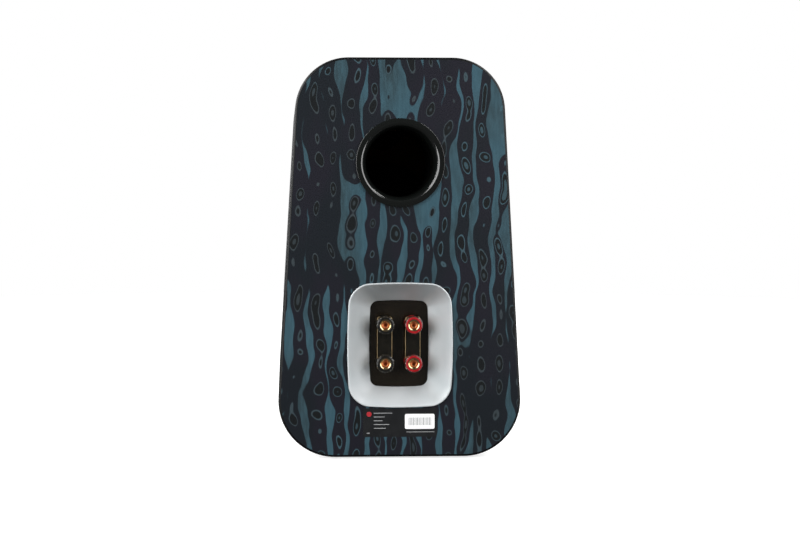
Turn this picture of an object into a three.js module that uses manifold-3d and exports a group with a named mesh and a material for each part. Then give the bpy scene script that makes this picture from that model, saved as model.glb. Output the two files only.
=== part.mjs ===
// A three-way bookshelf speaker on four rubber feet, in millimetres, +Z up.
// The front baffle faces -Y and the terminals and the bass port face +Y. The origin is the
// middle of the footprint, so Z = 0 is the surface that the speaker stands on.
import * as THREE from "three";
import { mergeVertices } from "three/addons/utils/BufferGeometryUtils.js";
import Module from "manifold-3d";

const wasm = await Module();
wasm.setup();

// ---------------------------------------------------------------- driving dimensions
const GAP = 0.3; // between pieces that touch

const totalHeight = 400;
const bottomWidth = 250; // where the sloping sides would meet the bottom
const topWidth = 202.5; // where the sloping sides would meet the top
const cabinetDepth = 296;
const topCornerRadius = 53;
const bottomCornerRadius = 57;
const wallThickness = 18;
const baffleThickness = 25;
const rearThickness = 18;
const proud = 2; // driver frames, port lip and bezel rim stand this far off the cabinet

const footHeight = 2;
const footRadius = 10;
const footInsetX = 77; // from the side of the cabinet's bottom
const footInsetY = 42;

const braceThickness = 12;
const braceRail = 26; // wood left around the brace's windows
const braceClearance = 12; // in front of the crossover board

const portHeight = 296; // centre of the port above the floor
const portThroatRadius = 33.5;
const portNeckWall = 6.5; // from the throat to the neck that fills the panel's hole
const portLipWidth = 4; // of the lip that lies on the panel
const portFlareLength = 38;
const portTubeLength = 111;
const portWall = 3;

const terminalHeight = 114.6; // centre of the terminal dish above the floor
const bezelWidth = 105.4;
const bezelHeight = 125;
const bezelCornerRadius = 20;
const bezelBulge = 2.6; // how far the sides bow outwards
const dishDepth = 25.5;
const dishRim = 2.2;
const plateWindowWidth = 60;
const plateWindowHeight = 86.5;
const plateCornerRadius = 7;
const plateWindowBulge = 1.4;
const plateThickness = 4;
const plateLap = 8; // how far the plate reaches behind the bezel's floor
const bezelFloor = 2.2;

const postSpacingX = 28.5;
const postSpacingZ = 38.6;
const studRadius = 3.5;
const socketRadius = 2;
const socketDepth = 12;
const studTail = 18; // behind the plate
const collarRadius = 8.5;
const collarHeight = 4;
const hexAcrossFlats = 13;
const hexHeight = 3;
const linkWidth = 15.5;
const linkThickness = 1.5;
const washerRadius = 7;
const washerThickness = 1.5;
const capRadius = 9;
const capCoreRadius = 6.8;
const capMouthRadius = 5.8;
const capLength = 12;
const capTravel = 5; // how far a cap unscrews
const runningGap = 0.4; // between a stud and what slides along it

// seatLap is the frame's width outside its hole, faceWidth reaches from its rim to where the
// surround lands, and bond is what is left of that landing beside the roll.
const woofer = {
  height: 103, frameRadius: 84, flange: 4, seatLap: 4, faceWidth: 10, roll: 9.5, bond: 3.5,
  coneDepth: 24, coilRadius: 19.4, capRadius: 25, capRise: 8.5, backRadius: 50, basketDepth: 44, neckRadius: 30,
  plateRadius: 44, plate: 6, magnetRadius: 47, magnet: 18, yoke: 8, travel: 6, windows: 6, windowWidth: 34,
  sides: 32,
};
const mid = {
  height: 246, frameRadius: 53, flange: 4, seatLap: 4, faceWidth: 8.5, roll: 6, bond: 2,
  coneDepth: 14, coilRadius: 12.5, capRadius: 15.5, capRise: 5.5, backRadius: 34, basketDepth: 27, neckRadius: 20,
  plateRadius: 32, plate: 4, magnetRadius: 34, magnet: 11, yoke: 5, travel: 3, windows: 4, windowWidth: 24,
  sides: 24,
};
const chamberRadius = 54;
const chamberDepth = 44;
const chamberWall = 3;

const tweeterHeight = 343;
const tweeterFrameRadius = 38;
const tweeterFlange = 4;
const tweeterThroatRadius = 17.5;
const tweeterDomeRadius = 14;
const tweeterDomeRise = 4.4;
const tweeterRoll = 2.6;
const tweeterMotorRadius = 25;
const tweeterMotorLength = 25;

const boardLength = 84;
const boardWidth = 112;
const boardThickness = 1.6;
const boardClearance = 30; // from the rear panel
const boardLeg = 5;
const padThickness = 20;

// ---------------------------------------------------------------- derived places
const rearFace = cabinetDepth / 2;
const frontFace = -cabinetDepth / 2;
const rimPlane = rearFace + proud;
const frontPlane = frontFace - proud;
const dishFloor = rimPlane - dishDepth;
const plateFront = dishFloor - bezelFloor - GAP;
const plateBack = plateFront - plateThickness;
const innerFloor = footHeight + wallThickness;
const portNeckRadius = portThroatRadius + portNeckWall;
const portLipRadius = portNeckRadius + portLipWidth;
for (const spec of [woofer, mid]) {
  spec.throughRadius = spec.frameRadius - spec.seatLap;
  spec.landing = spec.frameRadius - spec.faceWidth;
  spec.coneRadius = spec.landing - spec.roll - spec.bond;
}

// ---------------------------------------------------------------- helpers
const paint = {
  veneer: [0x1e2c36, 0.12, 0], gloss_black: [0x0a0b0c, 0.1, 0], satin_silver: [0xc9cdcf, 0.35, 0.6],
  dark_plate: [0x1c1812, 0.15, 0.2], gold: [0xc79a4a, 0.2, 1], clear_black: [0x141414, 0.12, 0],
  clear_red: [0x8c1016, 0.12, 0], rubber: [0x101010, 0.8, 0], mdf: [0x9a7a55, 0.9, 0],
  felt: [0x8d9094, 1, 0], cast_metal: [0x26282a, 0.5, 0.8], cone: [0x23262a, 0.55, 0],
  foam_rubber: [0x0c0c0d, 0.7, 0], cloth: [0xb48a3c, 0.95, 0], plated: [0xb9bcc0, 0.3, 1],
  ferrite: [0x2c2c2e, 0.7, 0], copper: [0xb5683a, 0.3, 1], board: [0x1d5a34, 0.5, 0],
  film: [0xc8a23a, 0.4, 0], silk: [0x151617, 0.8, 0],
};
const speaker = new THREE.Group();

// Merges a geometry's shared corners and turns its faces outwards.
function sealed(geometry) {
  geometry.deleteAttribute("normal");
  geometry.deleteAttribute("uv");
  const merged = mergeVertices(geometry, 1e-3);
  const p = merged.attributes.position;
  const index = merged.index.array;
  const [a, b, c] = [new THREE.Vector3(), new THREE.Vector3(), new THREE.Vector3()];
  const kept = [];
  let volume = 0;
  for (let i = 0; i < index.length; i += 3) {
    const [u, v, w] = [index[i], index[i + 1], index[i + 2]];
    if (u === v || v === w || w === u) continue;
    kept.push(u, v, w);
    volume += a.fromBufferAttribute(p, u).dot(
      b.fromBufferAttribute(p, v).cross(c.fromBufferAttribute(p, w)));
  }
  merged.setIndex(volume > 0 ? kept : kept.reverse());
  return merged;
}

function toSolid(geometry) {
  const g = sealed(geometry);
  return new wasm.Manifold(new wasm.Mesh({
    numProp: 3,
    vertProperties: new Float32Array(g.attributes.position.array),
    triVerts: new Uint32Array(g.index.array),
  }));
}

function fromSolid(solid) {
  const mesh = solid.getMesh();
  const g = new THREE.BufferGeometry();
  g.setAttribute("position", new THREE.BufferAttribute(new Float32Array(mesh.vertProperties), 3));
  g.setIndex(new THREE.BufferAttribute(new Uint32Array(mesh.triVerts), 1));
  return g;
}

const joined = (first, ...others) =>
  fromSolid(others.reduce((sum, g) => sum.add(toSolid(g)), toSolid(first)));
const cut = (first, ...tools) =>
  fromSolid(tools.reduce((rest, g) => rest.subtract(toSolid(g)), toSolid(first)));

// Adds a named sub-part. Its geometry is flat-shaded from unshared corners.
function add(name, finish, geometry, x = 0, y = 0, z = 0) {
  const [color, roughness, metalness] = paint[finish];
  const g = geometry.index ? geometry.toNonIndexed() : geometry;
  g.computeVertexNormals();
  const mesh = new THREE.Mesh(g, new THREE.MeshStandardMaterial({ color, roughness, metalness }));
  mesh.name = name;
  mesh.position.set(x, y, z);
  speaker.add(mesh);
}

// A solid turned about the Y axis from a closed list of [radius, y].
const turned = (profile, sides) =>
  sealed(new THREE.LatheGeometry([...profile, profile[0]].map(([r, y]) => new THREE.Vector2(r, y)), sides));

// The same for a profile that starts and ends on the axis.
const turnedCore = (profile, sides) =>
  sealed(new THREE.LatheGeometry(profile.map(([r, y]) => new THREE.Vector2(r, y)), sides));

// A disc about the Y axis from y0 to y1.
const disc = (radius, y0, y1, sides) => turnedCore([[0, y0], [radius, y0], [radius, y1], [0, y1]], sides);

// A prism along Y over an outline given as [x, z], with holes.
function slab(outline, y0, y1, holes = []) {
  const shape = new THREE.Shape(outline.map(([x, z]) => new THREE.Vector2(x, z)));
  shape.holes = holes.map((h) => new THREE.Path(h.map(([x, z]) => new THREE.Vector2(x, z))));
  const g = new THREE.ExtrudeGeometry(shape, { depth: y1 - y0, bevelEnabled: false });
  g.rotateX(Math.PI / 2);
  g.translate(0, y1, 0);
  return sealed(g);
}

const block = (x0, x1, y0, y1, z0, z1) =>
  new THREE.BoxGeometry(x1 - x0, y1 - y0, z1 - z0)
    .translate((x0 + x1) / 2, (y0 + y1) / 2, (z0 + z1) / 2);

// A polygon with a round corner at each point: every corner's arc touches both its sides.
function filleted(points, radii, steps) {
  return points.flatMap(([x, z], i) => {
    const here = new THREE.Vector2(x, z);
    const before = new THREE.Vector2(...points.at(i - 1)).sub(here).normalize();
    const after = new THREE.Vector2(...points[(i + 1) % points.length]).sub(here).normalize();
    const half = Math.acos(before.dot(after)) / 2;
    const centre = before.clone().add(after).normalize().multiplyScalar(radii[i] / Math.sin(half)).add(here);
    const start = before.multiplyScalar(radii[i] / Math.tan(half)).add(here).sub(centre);
    const turn = Math.PI - 2 * half;
    return Array.from({ length: steps + 1 }, (_, k) => {
      const p = start.clone().rotateAround(new THREE.Vector2(), (turn * k) / steps).add(centre);
      return [p.x, p.y];
    });
  });
}

// The cabinet's outline moved inwards by an inset: a trapezoid with round corners,
// anticlockwise from the lower right in X and Z.
function cabinetOutline(inset, steps = 10) {
  const rise = totalHeight - footHeight;
  const lean = (bottomWidth - topWidth) / 2 / rise;
  const sideShift = inset * Math.hypot(1, lean);
  const halfAt = (z) => bottomWidth / 2 - lean * (z - footHeight) - sideShift;
  const [z0, z1] = [footHeight + inset, totalHeight - inset];
  const corners = [[halfAt(z0), z0], [halfAt(z1), z1], [-halfAt(z1), z1], [-halfAt(z0), z0]];
  const radii = [bottomCornerRadius, topCornerRadius, topCornerRadius, bottomCornerRadius]
    .map((r) => Math.max(r - inset, 2));
  return filleted(corners, radii, steps);
}

// A round-cornered rectangle about (0, cz) whose sides bow outwards by bulge at their middles.
function barrel(width, height, radius, bulge, cz, steps = 5, between = 3) {
  const [a, b] = [width / 2, height / 2];
  const square = filleted([[a, -b], [a, b], [-a, b], [-a, -b]], [radius, radius, radius, radius], steps);
  const loop = square.flatMap((p, i) => {
    if (i % (steps + 1) !== steps) return [p];
    const q = square[(i + 1) % square.length];
    const spread = (k) => [0, 1].map((axis) => p[axis] + ((q[axis] - p[axis]) * k) / (between + 1));
    return [p, ...Array.from({ length: between }, (_, k) => spread(k + 1))];
  });
  return loop.map(([x, z]) => [x * (1 - (bulge / a) * (z / b) ** 2), z * (1 - (bulge / b) * (x / a) ** 2) + cz]);
}

// A closed ring-shaped solid through loops of equal length, each at its own y; the last meets the first.
function ringLoft(loops) {
  const n = loops[0].points.length;
  const position = loops.flatMap(({ y, points }) => points.flatMap(([x, z]) => [x, y, z]));
  const index = loops.flatMap((_, i) => {
    const [here, next] = [i * n, ((i + 1) % loops.length) * n];
    return Array.from({ length: n }, (__, k) => {
      const m = (k + 1) % n;
      return [here + k, here + m, next + m, here + k, next + m, next + k];
    }).flat();
  });
  const g = new THREE.BufferGeometry();
  g.setAttribute("position", new THREE.Float32BufferAttribute(position, 3));
  g.setIndex(index);
  return sealed(g);
}

// ---------------------------------------------------------------- cabinet
const baffleBack = frontFace + baffleThickness;
const rearInner = rearFace - rearThickness;
const boardBack = rearInner - boardClearance;
const boardFront = boardBack - boardLength;

function addCabinet() {
  const outline = cabinetOutline(0);
  const hollow = cabinetOutline(wallThickness);
  add("cabinet_wrap", "veneer", slab(outline, baffleBack + GAP, rearInner - GAP, [hollow]));

  const seat = (spec) => [
    disc(spec.frameRadius + GAP, frontFace - 1, frontPlane + spec.flange + GAP, spec.sides),
    disc(spec.throughRadius + GAP, frontFace - 1, baffleBack + 1, spec.sides),
  ].map((g) => g.translate(0, 0, spec.height));
  const tweeterSeat = {
    height: tweeterHeight, frameRadius: tweeterFrameRadius, flange: tweeterFlange,
    throughRadius: tweeterMotorRadius + 1.5, sides: 24,
  };
  add("front_baffle", "veneer",
    cut(slab(outline, frontFace, baffleBack), ...[woofer, mid, tweeterSeat].flatMap(seat)));

  const dishHole = slab(
    barrel(bezelWidth - 2 * dishRim + 2 * GAP, bezelHeight - 2 * dishRim + 2 * GAP,
      bezelCornerRadius - dishRim, bezelBulge, terminalHeight),
    rearInner - 1, rearFace + 1);
  const portHole = disc(portNeckRadius + GAP, rearInner - 1, rearFace + 1, 32).translate(0, 0, portHeight);
  add("rear_panel", "veneer", cut(slab(outline, rearInner, rearFace), dishHole, portHole));

  const braceBack = boardFront - braceClearance;
  const braceFront = braceBack - braceThickness;
  const inner = cabinetOutline(wallThickness + GAP);
  const opening = cabinetOutline(wallThickness + braceRail);
  const barHeight = woofer.height + woofer.frameRadius + 8;
  const bar = fromSolid(toSolid(block(-bottomWidth / 2, bottomWidth / 2, braceFront, braceBack,
    barHeight - braceRail / 2, barHeight + braceRail / 2))
    .intersect(toSolid(slab(cabinetOutline(wallThickness + braceRail / 2), braceFront, braceBack))));
  add("window_brace", "mdf", joined(slab(inner, braceFront, braceBack, [opening]), bar));

  const padTop = portHeight - portNeckRadius - portWall - 6;
  const padBottom = terminalHeight + bezelHeight / 2 + 4;
  add("damping_pad", "felt",
    block(-75, 75, rearInner - GAP - padThickness, rearInner - GAP, padBottom, padTop));

  const [footX, footY] = [bottomWidth / 2 - footInsetX, cabinetDepth / 2 - footInsetY];
  for (const [side, sx] of [["left", -1], ["right", 1]]) {
    for (const [end, sy] of [["front", -1], ["rear", 1]]) {
      const foot = disc(footRadius, 0, footHeight - GAP, 16).rotateX(Math.PI / 2);
      add(`foot_${end}_${side}`, "rubber", foot, sx * footX, sy * footY, 0);
    }
  }
}

// ---------------------------------------------------------------- bass port
function addPort() {
  const seatPlane = rearFace + GAP;
  const flareEnd = rimPlane - portFlareLength;
  const spigot = portThroatRadius + portWall;
  // The mouth is a quarter ellipse from the lip's crest to the throat.
  const mouthDepth = 24;
  const mouth = Array.from({ length: 6 }, (_, k) => {
    const angle = (Math.PI / 2) * (1 - k / 5);
    return [
      portLipRadius - 1.6 - (portLipRadius - 1.6 - portThroatRadius) * Math.cos(angle),
      rimPlane - mouthDepth + mouthDepth * Math.sin(angle),
    ];
  });
  add("port_flare", "gloss_black", turned([
    [portNeckRadius, seatPlane], [portLipRadius, seatPlane], [portLipRadius, rimPlane - 0.8],
    ...mouth, [portThroatRadius, flareEnd], [spigot, flareEnd], [spigot, rearInner - 2],
    [portNeckRadius, rearInner - 2],
  ], 32), 0, 0, portHeight);

  const bore = spigot + GAP;
  const tubeStart = rearInner - 2 - GAP;
  const tubeEnd = tubeStart - portTubeLength;
  add("port_tube", "gloss_black", turned([
    [bore, tubeStart], [bore + portWall, tubeStart], [bore + portWall, tubeEnd + 9],
    [bore + portWall + 5, tubeEnd], [bore + 5, tubeEnd], [bore, tubeEnd + 7],
  ], 32), 0, 0, portHeight);
}

// ---------------------------------------------------------------- terminal dish and plate
const postPlaces = ["high", "low"].flatMap((band) => ["negative", "positive"].map((pole) => ({
  name: `${band}_${pole}`,
  pole,
  x: (pole === "negative" ? 0.5 : -0.5) * postSpacingX,
  z: terminalHeight + (band === "high" ? 0.5 : -0.5) * postSpacingZ,
})));

function addTerminalDish() {
  const seatPlane = rearFace + GAP;
  const outer = (shrink, y, radius = bezelCornerRadius - shrink) => ({
    y,
    points: barrel(bezelWidth - 2 * shrink, bezelHeight - 2 * shrink, radius, bezelBulge, terminalHeight),
  });
  const window = (grow, y, bulge = plateWindowBulge) => ({
    y,
    points: barrel(plateWindowWidth + 2 * grow, plateWindowHeight + 2 * grow, plateCornerRadius + grow,
      bulge, terminalHeight),
  });
  const neckBack = dishFloor - bezelFloor;
  add("terminal_bezel", "satin_silver", ringLoft([
    outer(0, seatPlane), outer(0, rimPlane - 0.7), outer(0.7, rimPlane), outer(dishRim - 0.4, rimPlane - 0.3),
    window(0, dishFloor), window(0, neckBack), window(plateLap + 4, neckBack),
    outer(6.5, rearInner + 8), outer(dishRim, seatPlane),
  ]));

  const bores = postPlaces.map(({ x, z }) =>
    disc(studRadius + runningGap, plateBack - 1, plateFront + 1, 12).translate(x, 0, z));
  const plate = slab(
    barrel(plateWindowWidth + 2 * plateLap, plateWindowHeight + 2 * plateLap, plateCornerRadius + plateLap,
      plateWindowBulge, terminalHeight),
    plateBack, plateFront);
  add("terminal_plate", "dark_plate", cut(plate, ...bores));
}

// ---------------------------------------------------------------- binding posts and jumper links
const collarBottom = plateFront + GAP;
const hexBottom = collarBottom + collarHeight + GAP;
const linkBottom = hexBottom + hexHeight + GAP;
const washerBottom = linkBottom + linkThickness + GAP;
const capBottom = washerBottom + washerThickness + GAP;
const capTop = capBottom + capLength;
const studTop = capTop - 2;

function addPost({ name, pole, x, z }) {
  const bore = studRadius + runningGap;
  const stem = turnedCore([
    [0, plateBack - studTail], [studRadius, plateBack - studTail], [studRadius, studTop - 0.4],
    [studRadius - 0.4, studTop], [socketRadius, studTop], [socketRadius, studTop - socketDepth],
    [0, studTop - socketDepth],
  ], 16);
  const hex = disc(hexAcrossFlats / 2 / Math.cos(Math.PI / 6), hexBottom, hexBottom + hexHeight, 6);
  const tint = pole === "positive" ? "clear_red" : "clear_black";
  add(`stud_${name}`, "gold", joined(stem, hex), x, 0, z);
  add(`collar_${name}`, tint, turned([
    [bore, collarBottom], [collarRadius, collarBottom], [collarRadius, collarBottom + collarHeight],
    [bore, collarBottom + collarHeight],
  ], 16), x, 0, z);
  add(`washer_${name}`, "gold", turned([
    [bore, washerBottom], [washerRadius, washerBottom], [washerRadius, washerBottom + washerThickness],
    [bore, washerBottom + washerThickness],
  ], 16), x, 0, z);
  add(`cap_core_${name}`, "gold", turned([
    [bore, capBottom], [capCoreRadius, capBottom], [capCoreRadius, capTop],
    [capMouthRadius, capTop], [bore, capTop - 3],
  ], 16), x, 0, z);
  add(`cap_sleeve_${name}`, tint, turned([
    [capCoreRadius + GAP, capBottom], [capRadius - 0.8, capBottom], [capRadius, capBottom + 0.8],
    [capRadius, capTop - 1], [capRadius - 1, capTop], [capCoreRadius + GAP, capTop],
  ], 16), x, 0, z);
}

function addJumperLinks() {
  for (const pole of ["negative", "positive"]) {
    const ends = postPlaces.filter((post) => post.pole === pole);
    const x = ends[0].x;
    const [z0, z1] = [Math.min(...ends.map((p) => p.z)), Math.max(...ends.map((p) => p.z))];
    const r = linkWidth / 2;
    const outline = filleted([[x + r, z0 - r], [x + r, z1 + r], [x - r, z1 + r], [x - r, z0 - r]],
      [3, 3, 3, 3], 3);
    const bores = ends.map((p) =>
      disc(studRadius + runningGap, linkBottom - 1, linkBottom + linkThickness + 1, 12).translate(p.x, 0, p.z));
    add(`jumper_link_${pole}`, "gold", cut(slab(outline, linkBottom, linkBottom + linkThickness), ...bores));
  }
}

// ---------------------------------------------------------------- cone drivers
// Every place along Y follows from where the surround lands on the basket.
function driverPlaces(spec) {
  const landing = frontPlane + spec.roll / 2 + 1; // the crest of the roll stays behind the frame's face
  const neck = landing + spec.basketDepth;
  const plateFace = neck + GAP;
  const magnetFace = plateFace + spec.plate + GAP;
  const yokeFace = magnetFace + spec.magnet + GAP;
  const coneLip = landing - 0.3;
  return { landing, neck, plateFace, magnetFace, yokeFace, coneLip, apex: coneLip + spec.coneDepth };
}

function addBasket(name, spec) {
  const { landing, neck } = driverPlaces(spec);
  const flangeBack = frontPlane + spec.flange;
  const inside = spec.coneRadius + spec.roll * 0.6;
  const wall = 3;
  const body = turned([
    [spec.frameRadius, frontPlane], [spec.frameRadius, flangeBack], [spec.throughRadius, flangeBack],
    [spec.throughRadius, landing + wall], [inside + wall, landing + wall], [inside + wall, landing + wall + 3],
    [spec.backRadius, neck], [spec.neckRadius, neck], [spec.neckRadius, neck - wall],
    [spec.backRadius - wall, neck - wall], [inside, landing + 6], [inside, landing],
    [spec.landing, landing], [spec.landing + 2, frontPlane],
  ], spec.sides);
  const windows = Array.from({ length: spec.windows }, (_, k) =>
    block(spec.backRadius - 8, inside + 12, landing + wall + 5, neck - wall - 3,
      -spec.windowWidth / 2, spec.windowWidth / 2).rotateY((2 * Math.PI * (k + 0.5)) / spec.windows));
  add(`${name}_basket`, "cast_metal", cut(body, ...windows), 0, 0, spec.height);
}

// A thin turned sheet: front is a list of [radius, y], and the back is the same shifted along +Y.
const sheet = (front, thickness, sides) =>
  turned([...front, ...front.map(([r, y]) => [r, y + thickness]).reverse()], sides);

function addDiaphragm(name, spec) {
  const { landing, coneLip, apex } = driverPlaces(spec);
  const inner = spec.coilRadius + 0.6;
  const coneAt = (r) => {
    const s = (r - inner) / (spec.coneRadius - inner);
    return apex + (coneLip - apex) * (s + 0.16 * s * (1 - s));
  };
  const steps = 3;
  const radii = Array.from({ length: steps + 1 }, (_, k) => inner + ((spec.coneRadius - inner) * k) / steps);
  add(`${name}_cone`, "cone", sheet(radii.map((r) => [r, coneAt(r)]), 1.2, spec.sides), 0, 0, spec.height);

  const capEdge = coneAt(spec.capRadius) - GAP - 0.8;
  const dome = Array.from({ length: 4 }, (_, k) => {
    const s = k / 3;
    return [spec.capRadius * s, capEdge - spec.capRise * (1 - s * s)];
  });
  add(`${name}_dust_cap`, "cone",
    turnedCore([...dome, ...dome.map(([r, y]) => [r, y + 0.8]).reverse()], spec.sides), 0, 0, spec.height);

  const sheetY = landing - 1;
  const roll = Array.from({ length: 5 }, (_, k) => {
    const angle = (Math.PI * k) / 4;
    return [
      spec.coneRadius + 0.5 + (spec.roll / 2) * (1 - Math.cos(angle)),
      sheetY - (spec.roll / 2 - 0.9) * Math.sin(angle),
    ];
  });
  add(`${name}_surround`, "foam_rubber", sheet([
    [spec.coneRadius - 3, sheetY - 0.1], ...roll, [spec.landing - 0.4, sheetY - 0.1],
  ], 0.6, spec.sides), 0, 0, spec.height);
}

function addVoiceCoil(name, spec) {
  const { apex, magnetFace } = driverPlaces(spec);
  const front = apex + 1.6;
  const back = magnetFace + spec.magnet - spec.travel - 1.5;
  add(`${name}_voice_coil`, "copper", turned([
    [spec.coilRadius - 0.4, front], [spec.coilRadius + 0.2, front], [spec.coilRadius + 0.2, back],
    [spec.coilRadius - 0.4, back],
  ], 24), 0, 0, spec.height);
}

function addWoofer() {
  addBasket("woofer", woofer);
  addDiaphragm("woofer", woofer);
  addVoiceCoil("woofer", woofer);
  const { neck, plateFace, magnetFace, yokeFace, apex } = driverPlaces(woofer);
  const spiderY = (apex + 1.2 + neck) / 2 - 1;
  const waves = 3;
  const [r0, r1] = [woofer.coilRadius + 0.6, woofer.backRadius - 3 - GAP];
  const folds = Array.from({ length: 2 * waves + 1 }, (_, k) =>
    [r0 + ((r1 - r0) * k) / (2 * waves), spiderY + (k % 2 ? 1.2 : -1.2)]);
  add("woofer_spider", "cloth", sheet(folds, 0.6, 24), 0, 0, woofer.height);

  const gapOut = woofer.coilRadius + 1.2;
  const poleRadius = woofer.coilRadius - 1.4;
  const ring = (name, finish, inner, outer, y0, y1) =>
    add(name, finish, turned([[inner, y0], [outer, y0], [outer, y1], [inner, y1]], 32), 0, 0, woofer.height);
  ring("woofer_top_plate", "plated", gapOut, woofer.plateRadius, plateFace, plateFace + woofer.plate);
  ring("woofer_magnet", "ferrite", gapOut + 4, woofer.magnetRadius, magnetFace, magnetFace + woofer.magnet);
  add("woofer_yoke", "plated", turnedCore([
    [0, plateFace], [poleRadius, plateFace], [poleRadius, yokeFace], [woofer.plateRadius, yokeFace],
    [woofer.plateRadius, yokeFace + woofer.yoke], [0, yokeFace + woofer.yoke],
  ], 32), 0, 0, woofer.height);
}

function addMid() {
  addBasket("mid", mid);
  addDiaphragm("mid", mid);
  addVoiceCoil("mid", mid);
  const { plateFace, yokeFace } = driverPlaces(mid);
  const back = yokeFace + mid.yoke;
  // One motor: top plate, magnet and back plate around the gap that the coil moves in.
  add("mid_motor", "ferrite", turnedCore([
    [0, plateFace], [mid.coilRadius - 1.4, plateFace], [mid.coilRadius - 1.4, yokeFace],
    [mid.coilRadius + 1.2, yokeFace], [mid.coilRadius + 1.2, plateFace], [mid.plateRadius, plateFace],
    [mid.plateRadius, plateFace + mid.plate], [mid.magnetRadius, plateFace + mid.plate],
    [mid.magnetRadius, yokeFace], [mid.plateRadius, yokeFace], [mid.plateRadius, back], [0, back],
  ], 24), 0, 0, mid.height);

  const chamberFront = baffleBack + GAP;
  const chamberBack = chamberFront + chamberDepth;
  add("mid_chamber", "gloss_black", turnedCore([
    [0, chamberBack - chamberWall], [chamberRadius - chamberWall, chamberBack - chamberWall],
    [chamberRadius - chamberWall, chamberFront], [chamberRadius, chamberFront],
    [chamberRadius, chamberBack], [0, chamberBack],
  ], 32), 0, 0, mid.height);
}

// ---------------------------------------------------------------- tweeter
function addTweeter() {
  const flangeBack = frontPlane + tweeterFlange;
  const throatBack = flangeBack + 2;
  add("tweeter_faceplate", "cast_metal", turned([
    [tweeterFrameRadius, frontPlane], [tweeterFrameRadius, flangeBack], [tweeterMotorRadius + 1, flangeBack],
    [tweeterMotorRadius + 1, throatBack], [tweeterThroatRadius, throatBack],
    [tweeterThroatRadius, frontPlane + 3.4], [21, frontPlane + 1.8], [27, frontPlane + 0.6], [32, frontPlane],
  ], 24), 0, 0, tweeterHeight);

  const motorFront = throatBack + GAP;
  const pocket = motorFront + 2.2;
  add("tweeter_motor", "ferrite", turnedCore([
    [0, pocket], [tweeterThroatRadius, pocket], [tweeterThroatRadius, motorFront],
    [tweeterMotorRadius, motorFront], [tweeterMotorRadius, motorFront + tweeterMotorLength],
    [0, motorFront + tweeterMotorLength],
  ], 20), 0, 0, tweeterHeight);

  const domeBase = frontPlane + 0.8 + tweeterDomeRise;
  const dome = Array.from({ length: 4 }, (_, k) => {
    const s = k / 3;
    return [tweeterDomeRadius * s, domeBase - tweeterDomeRise * (1 - s * s)];
  });
  const rim = [
    [tweeterDomeRadius + tweeterRoll / 2, domeBase - tweeterRoll / 2],
    [tweeterDomeRadius + tweeterRoll, domeBase],
  ];
  const skin = [...dome, ...rim];
  add("tweeter_dome", "silk",
    turnedCore([...skin, ...skin.map(([r, y]) => [r, y + 0.4]).reverse()], 24), 0, 0, tweeterHeight);
}

// ---------------------------------------------------------------- crossover
function addCrossover() {
  const boardZ = innerFloor + GAP + boardLeg;
  const half = boardWidth / 2;
  const legs = [-1, 1].flatMap((sx) => [boardFront + 6, boardBack - 6].map((y) =>
    block(sx * (half - 6) - 3, sx * (half - 6) + 3, y - 3, y + 3, innerFloor + GAP, boardZ + 0.5)));
  add("crossover_board", "board",
    joined(block(-half, half, boardFront, boardBack, boardZ, boardZ + boardThickness), ...legs));

  const deck = boardZ + boardThickness + GAP;
  const upright = (g) => g.rotateX(Math.PI / 2); // turns the Y axis up to Z
  const coil = (inner, outer, height) =>
    upright(turned([[inner, 0], [outer, 0], [outer, height], [inner, height]], 20));
  add("woofer_inductor", "copper", coil(9, 22, 20), -28, boardFront + 30, deck);
  add("mid_inductor", "copper", coil(7, 15, 14), 30, boardFront + 24, deck);
  const can = (radius, length) => disc(radius, -length / 2, length / 2, 20).rotateZ(Math.PI / 2);
  add("mid_capacitor", "film", can(10, 42), 26, boardFront + 54, deck + 10);
  add("tweeter_capacitor", "film", can(7.5, 34), -26, boardFront + 66, deck + 7.5);
}

addCabinet();
addPort();
addTerminalDish();
postPlaces.forEach(addPost);
addJumperLinks();
addWoofer();
addMid();
addTweeter();
addCrossover();

export default speaker;
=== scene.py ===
# %% [markdown]
# # A three-way bookshelf speaker in figured veneer
# The CAD model says where everything is and how it moves. This lesson gives it its looks: a
# tapered cabinet under deep gloss, a moulded bass port, a silver terminal dish with gold binding
# posts, and three drivers on the front. Every piece is a surface worked out with numpy and
# every finish is a formula in shader nodes, so nothing here is painted by hand.

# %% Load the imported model
import math

import bmesh
import bpy
import numpy as np
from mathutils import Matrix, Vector
from mathutils.geometry import delaunay_2d_cdt


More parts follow.
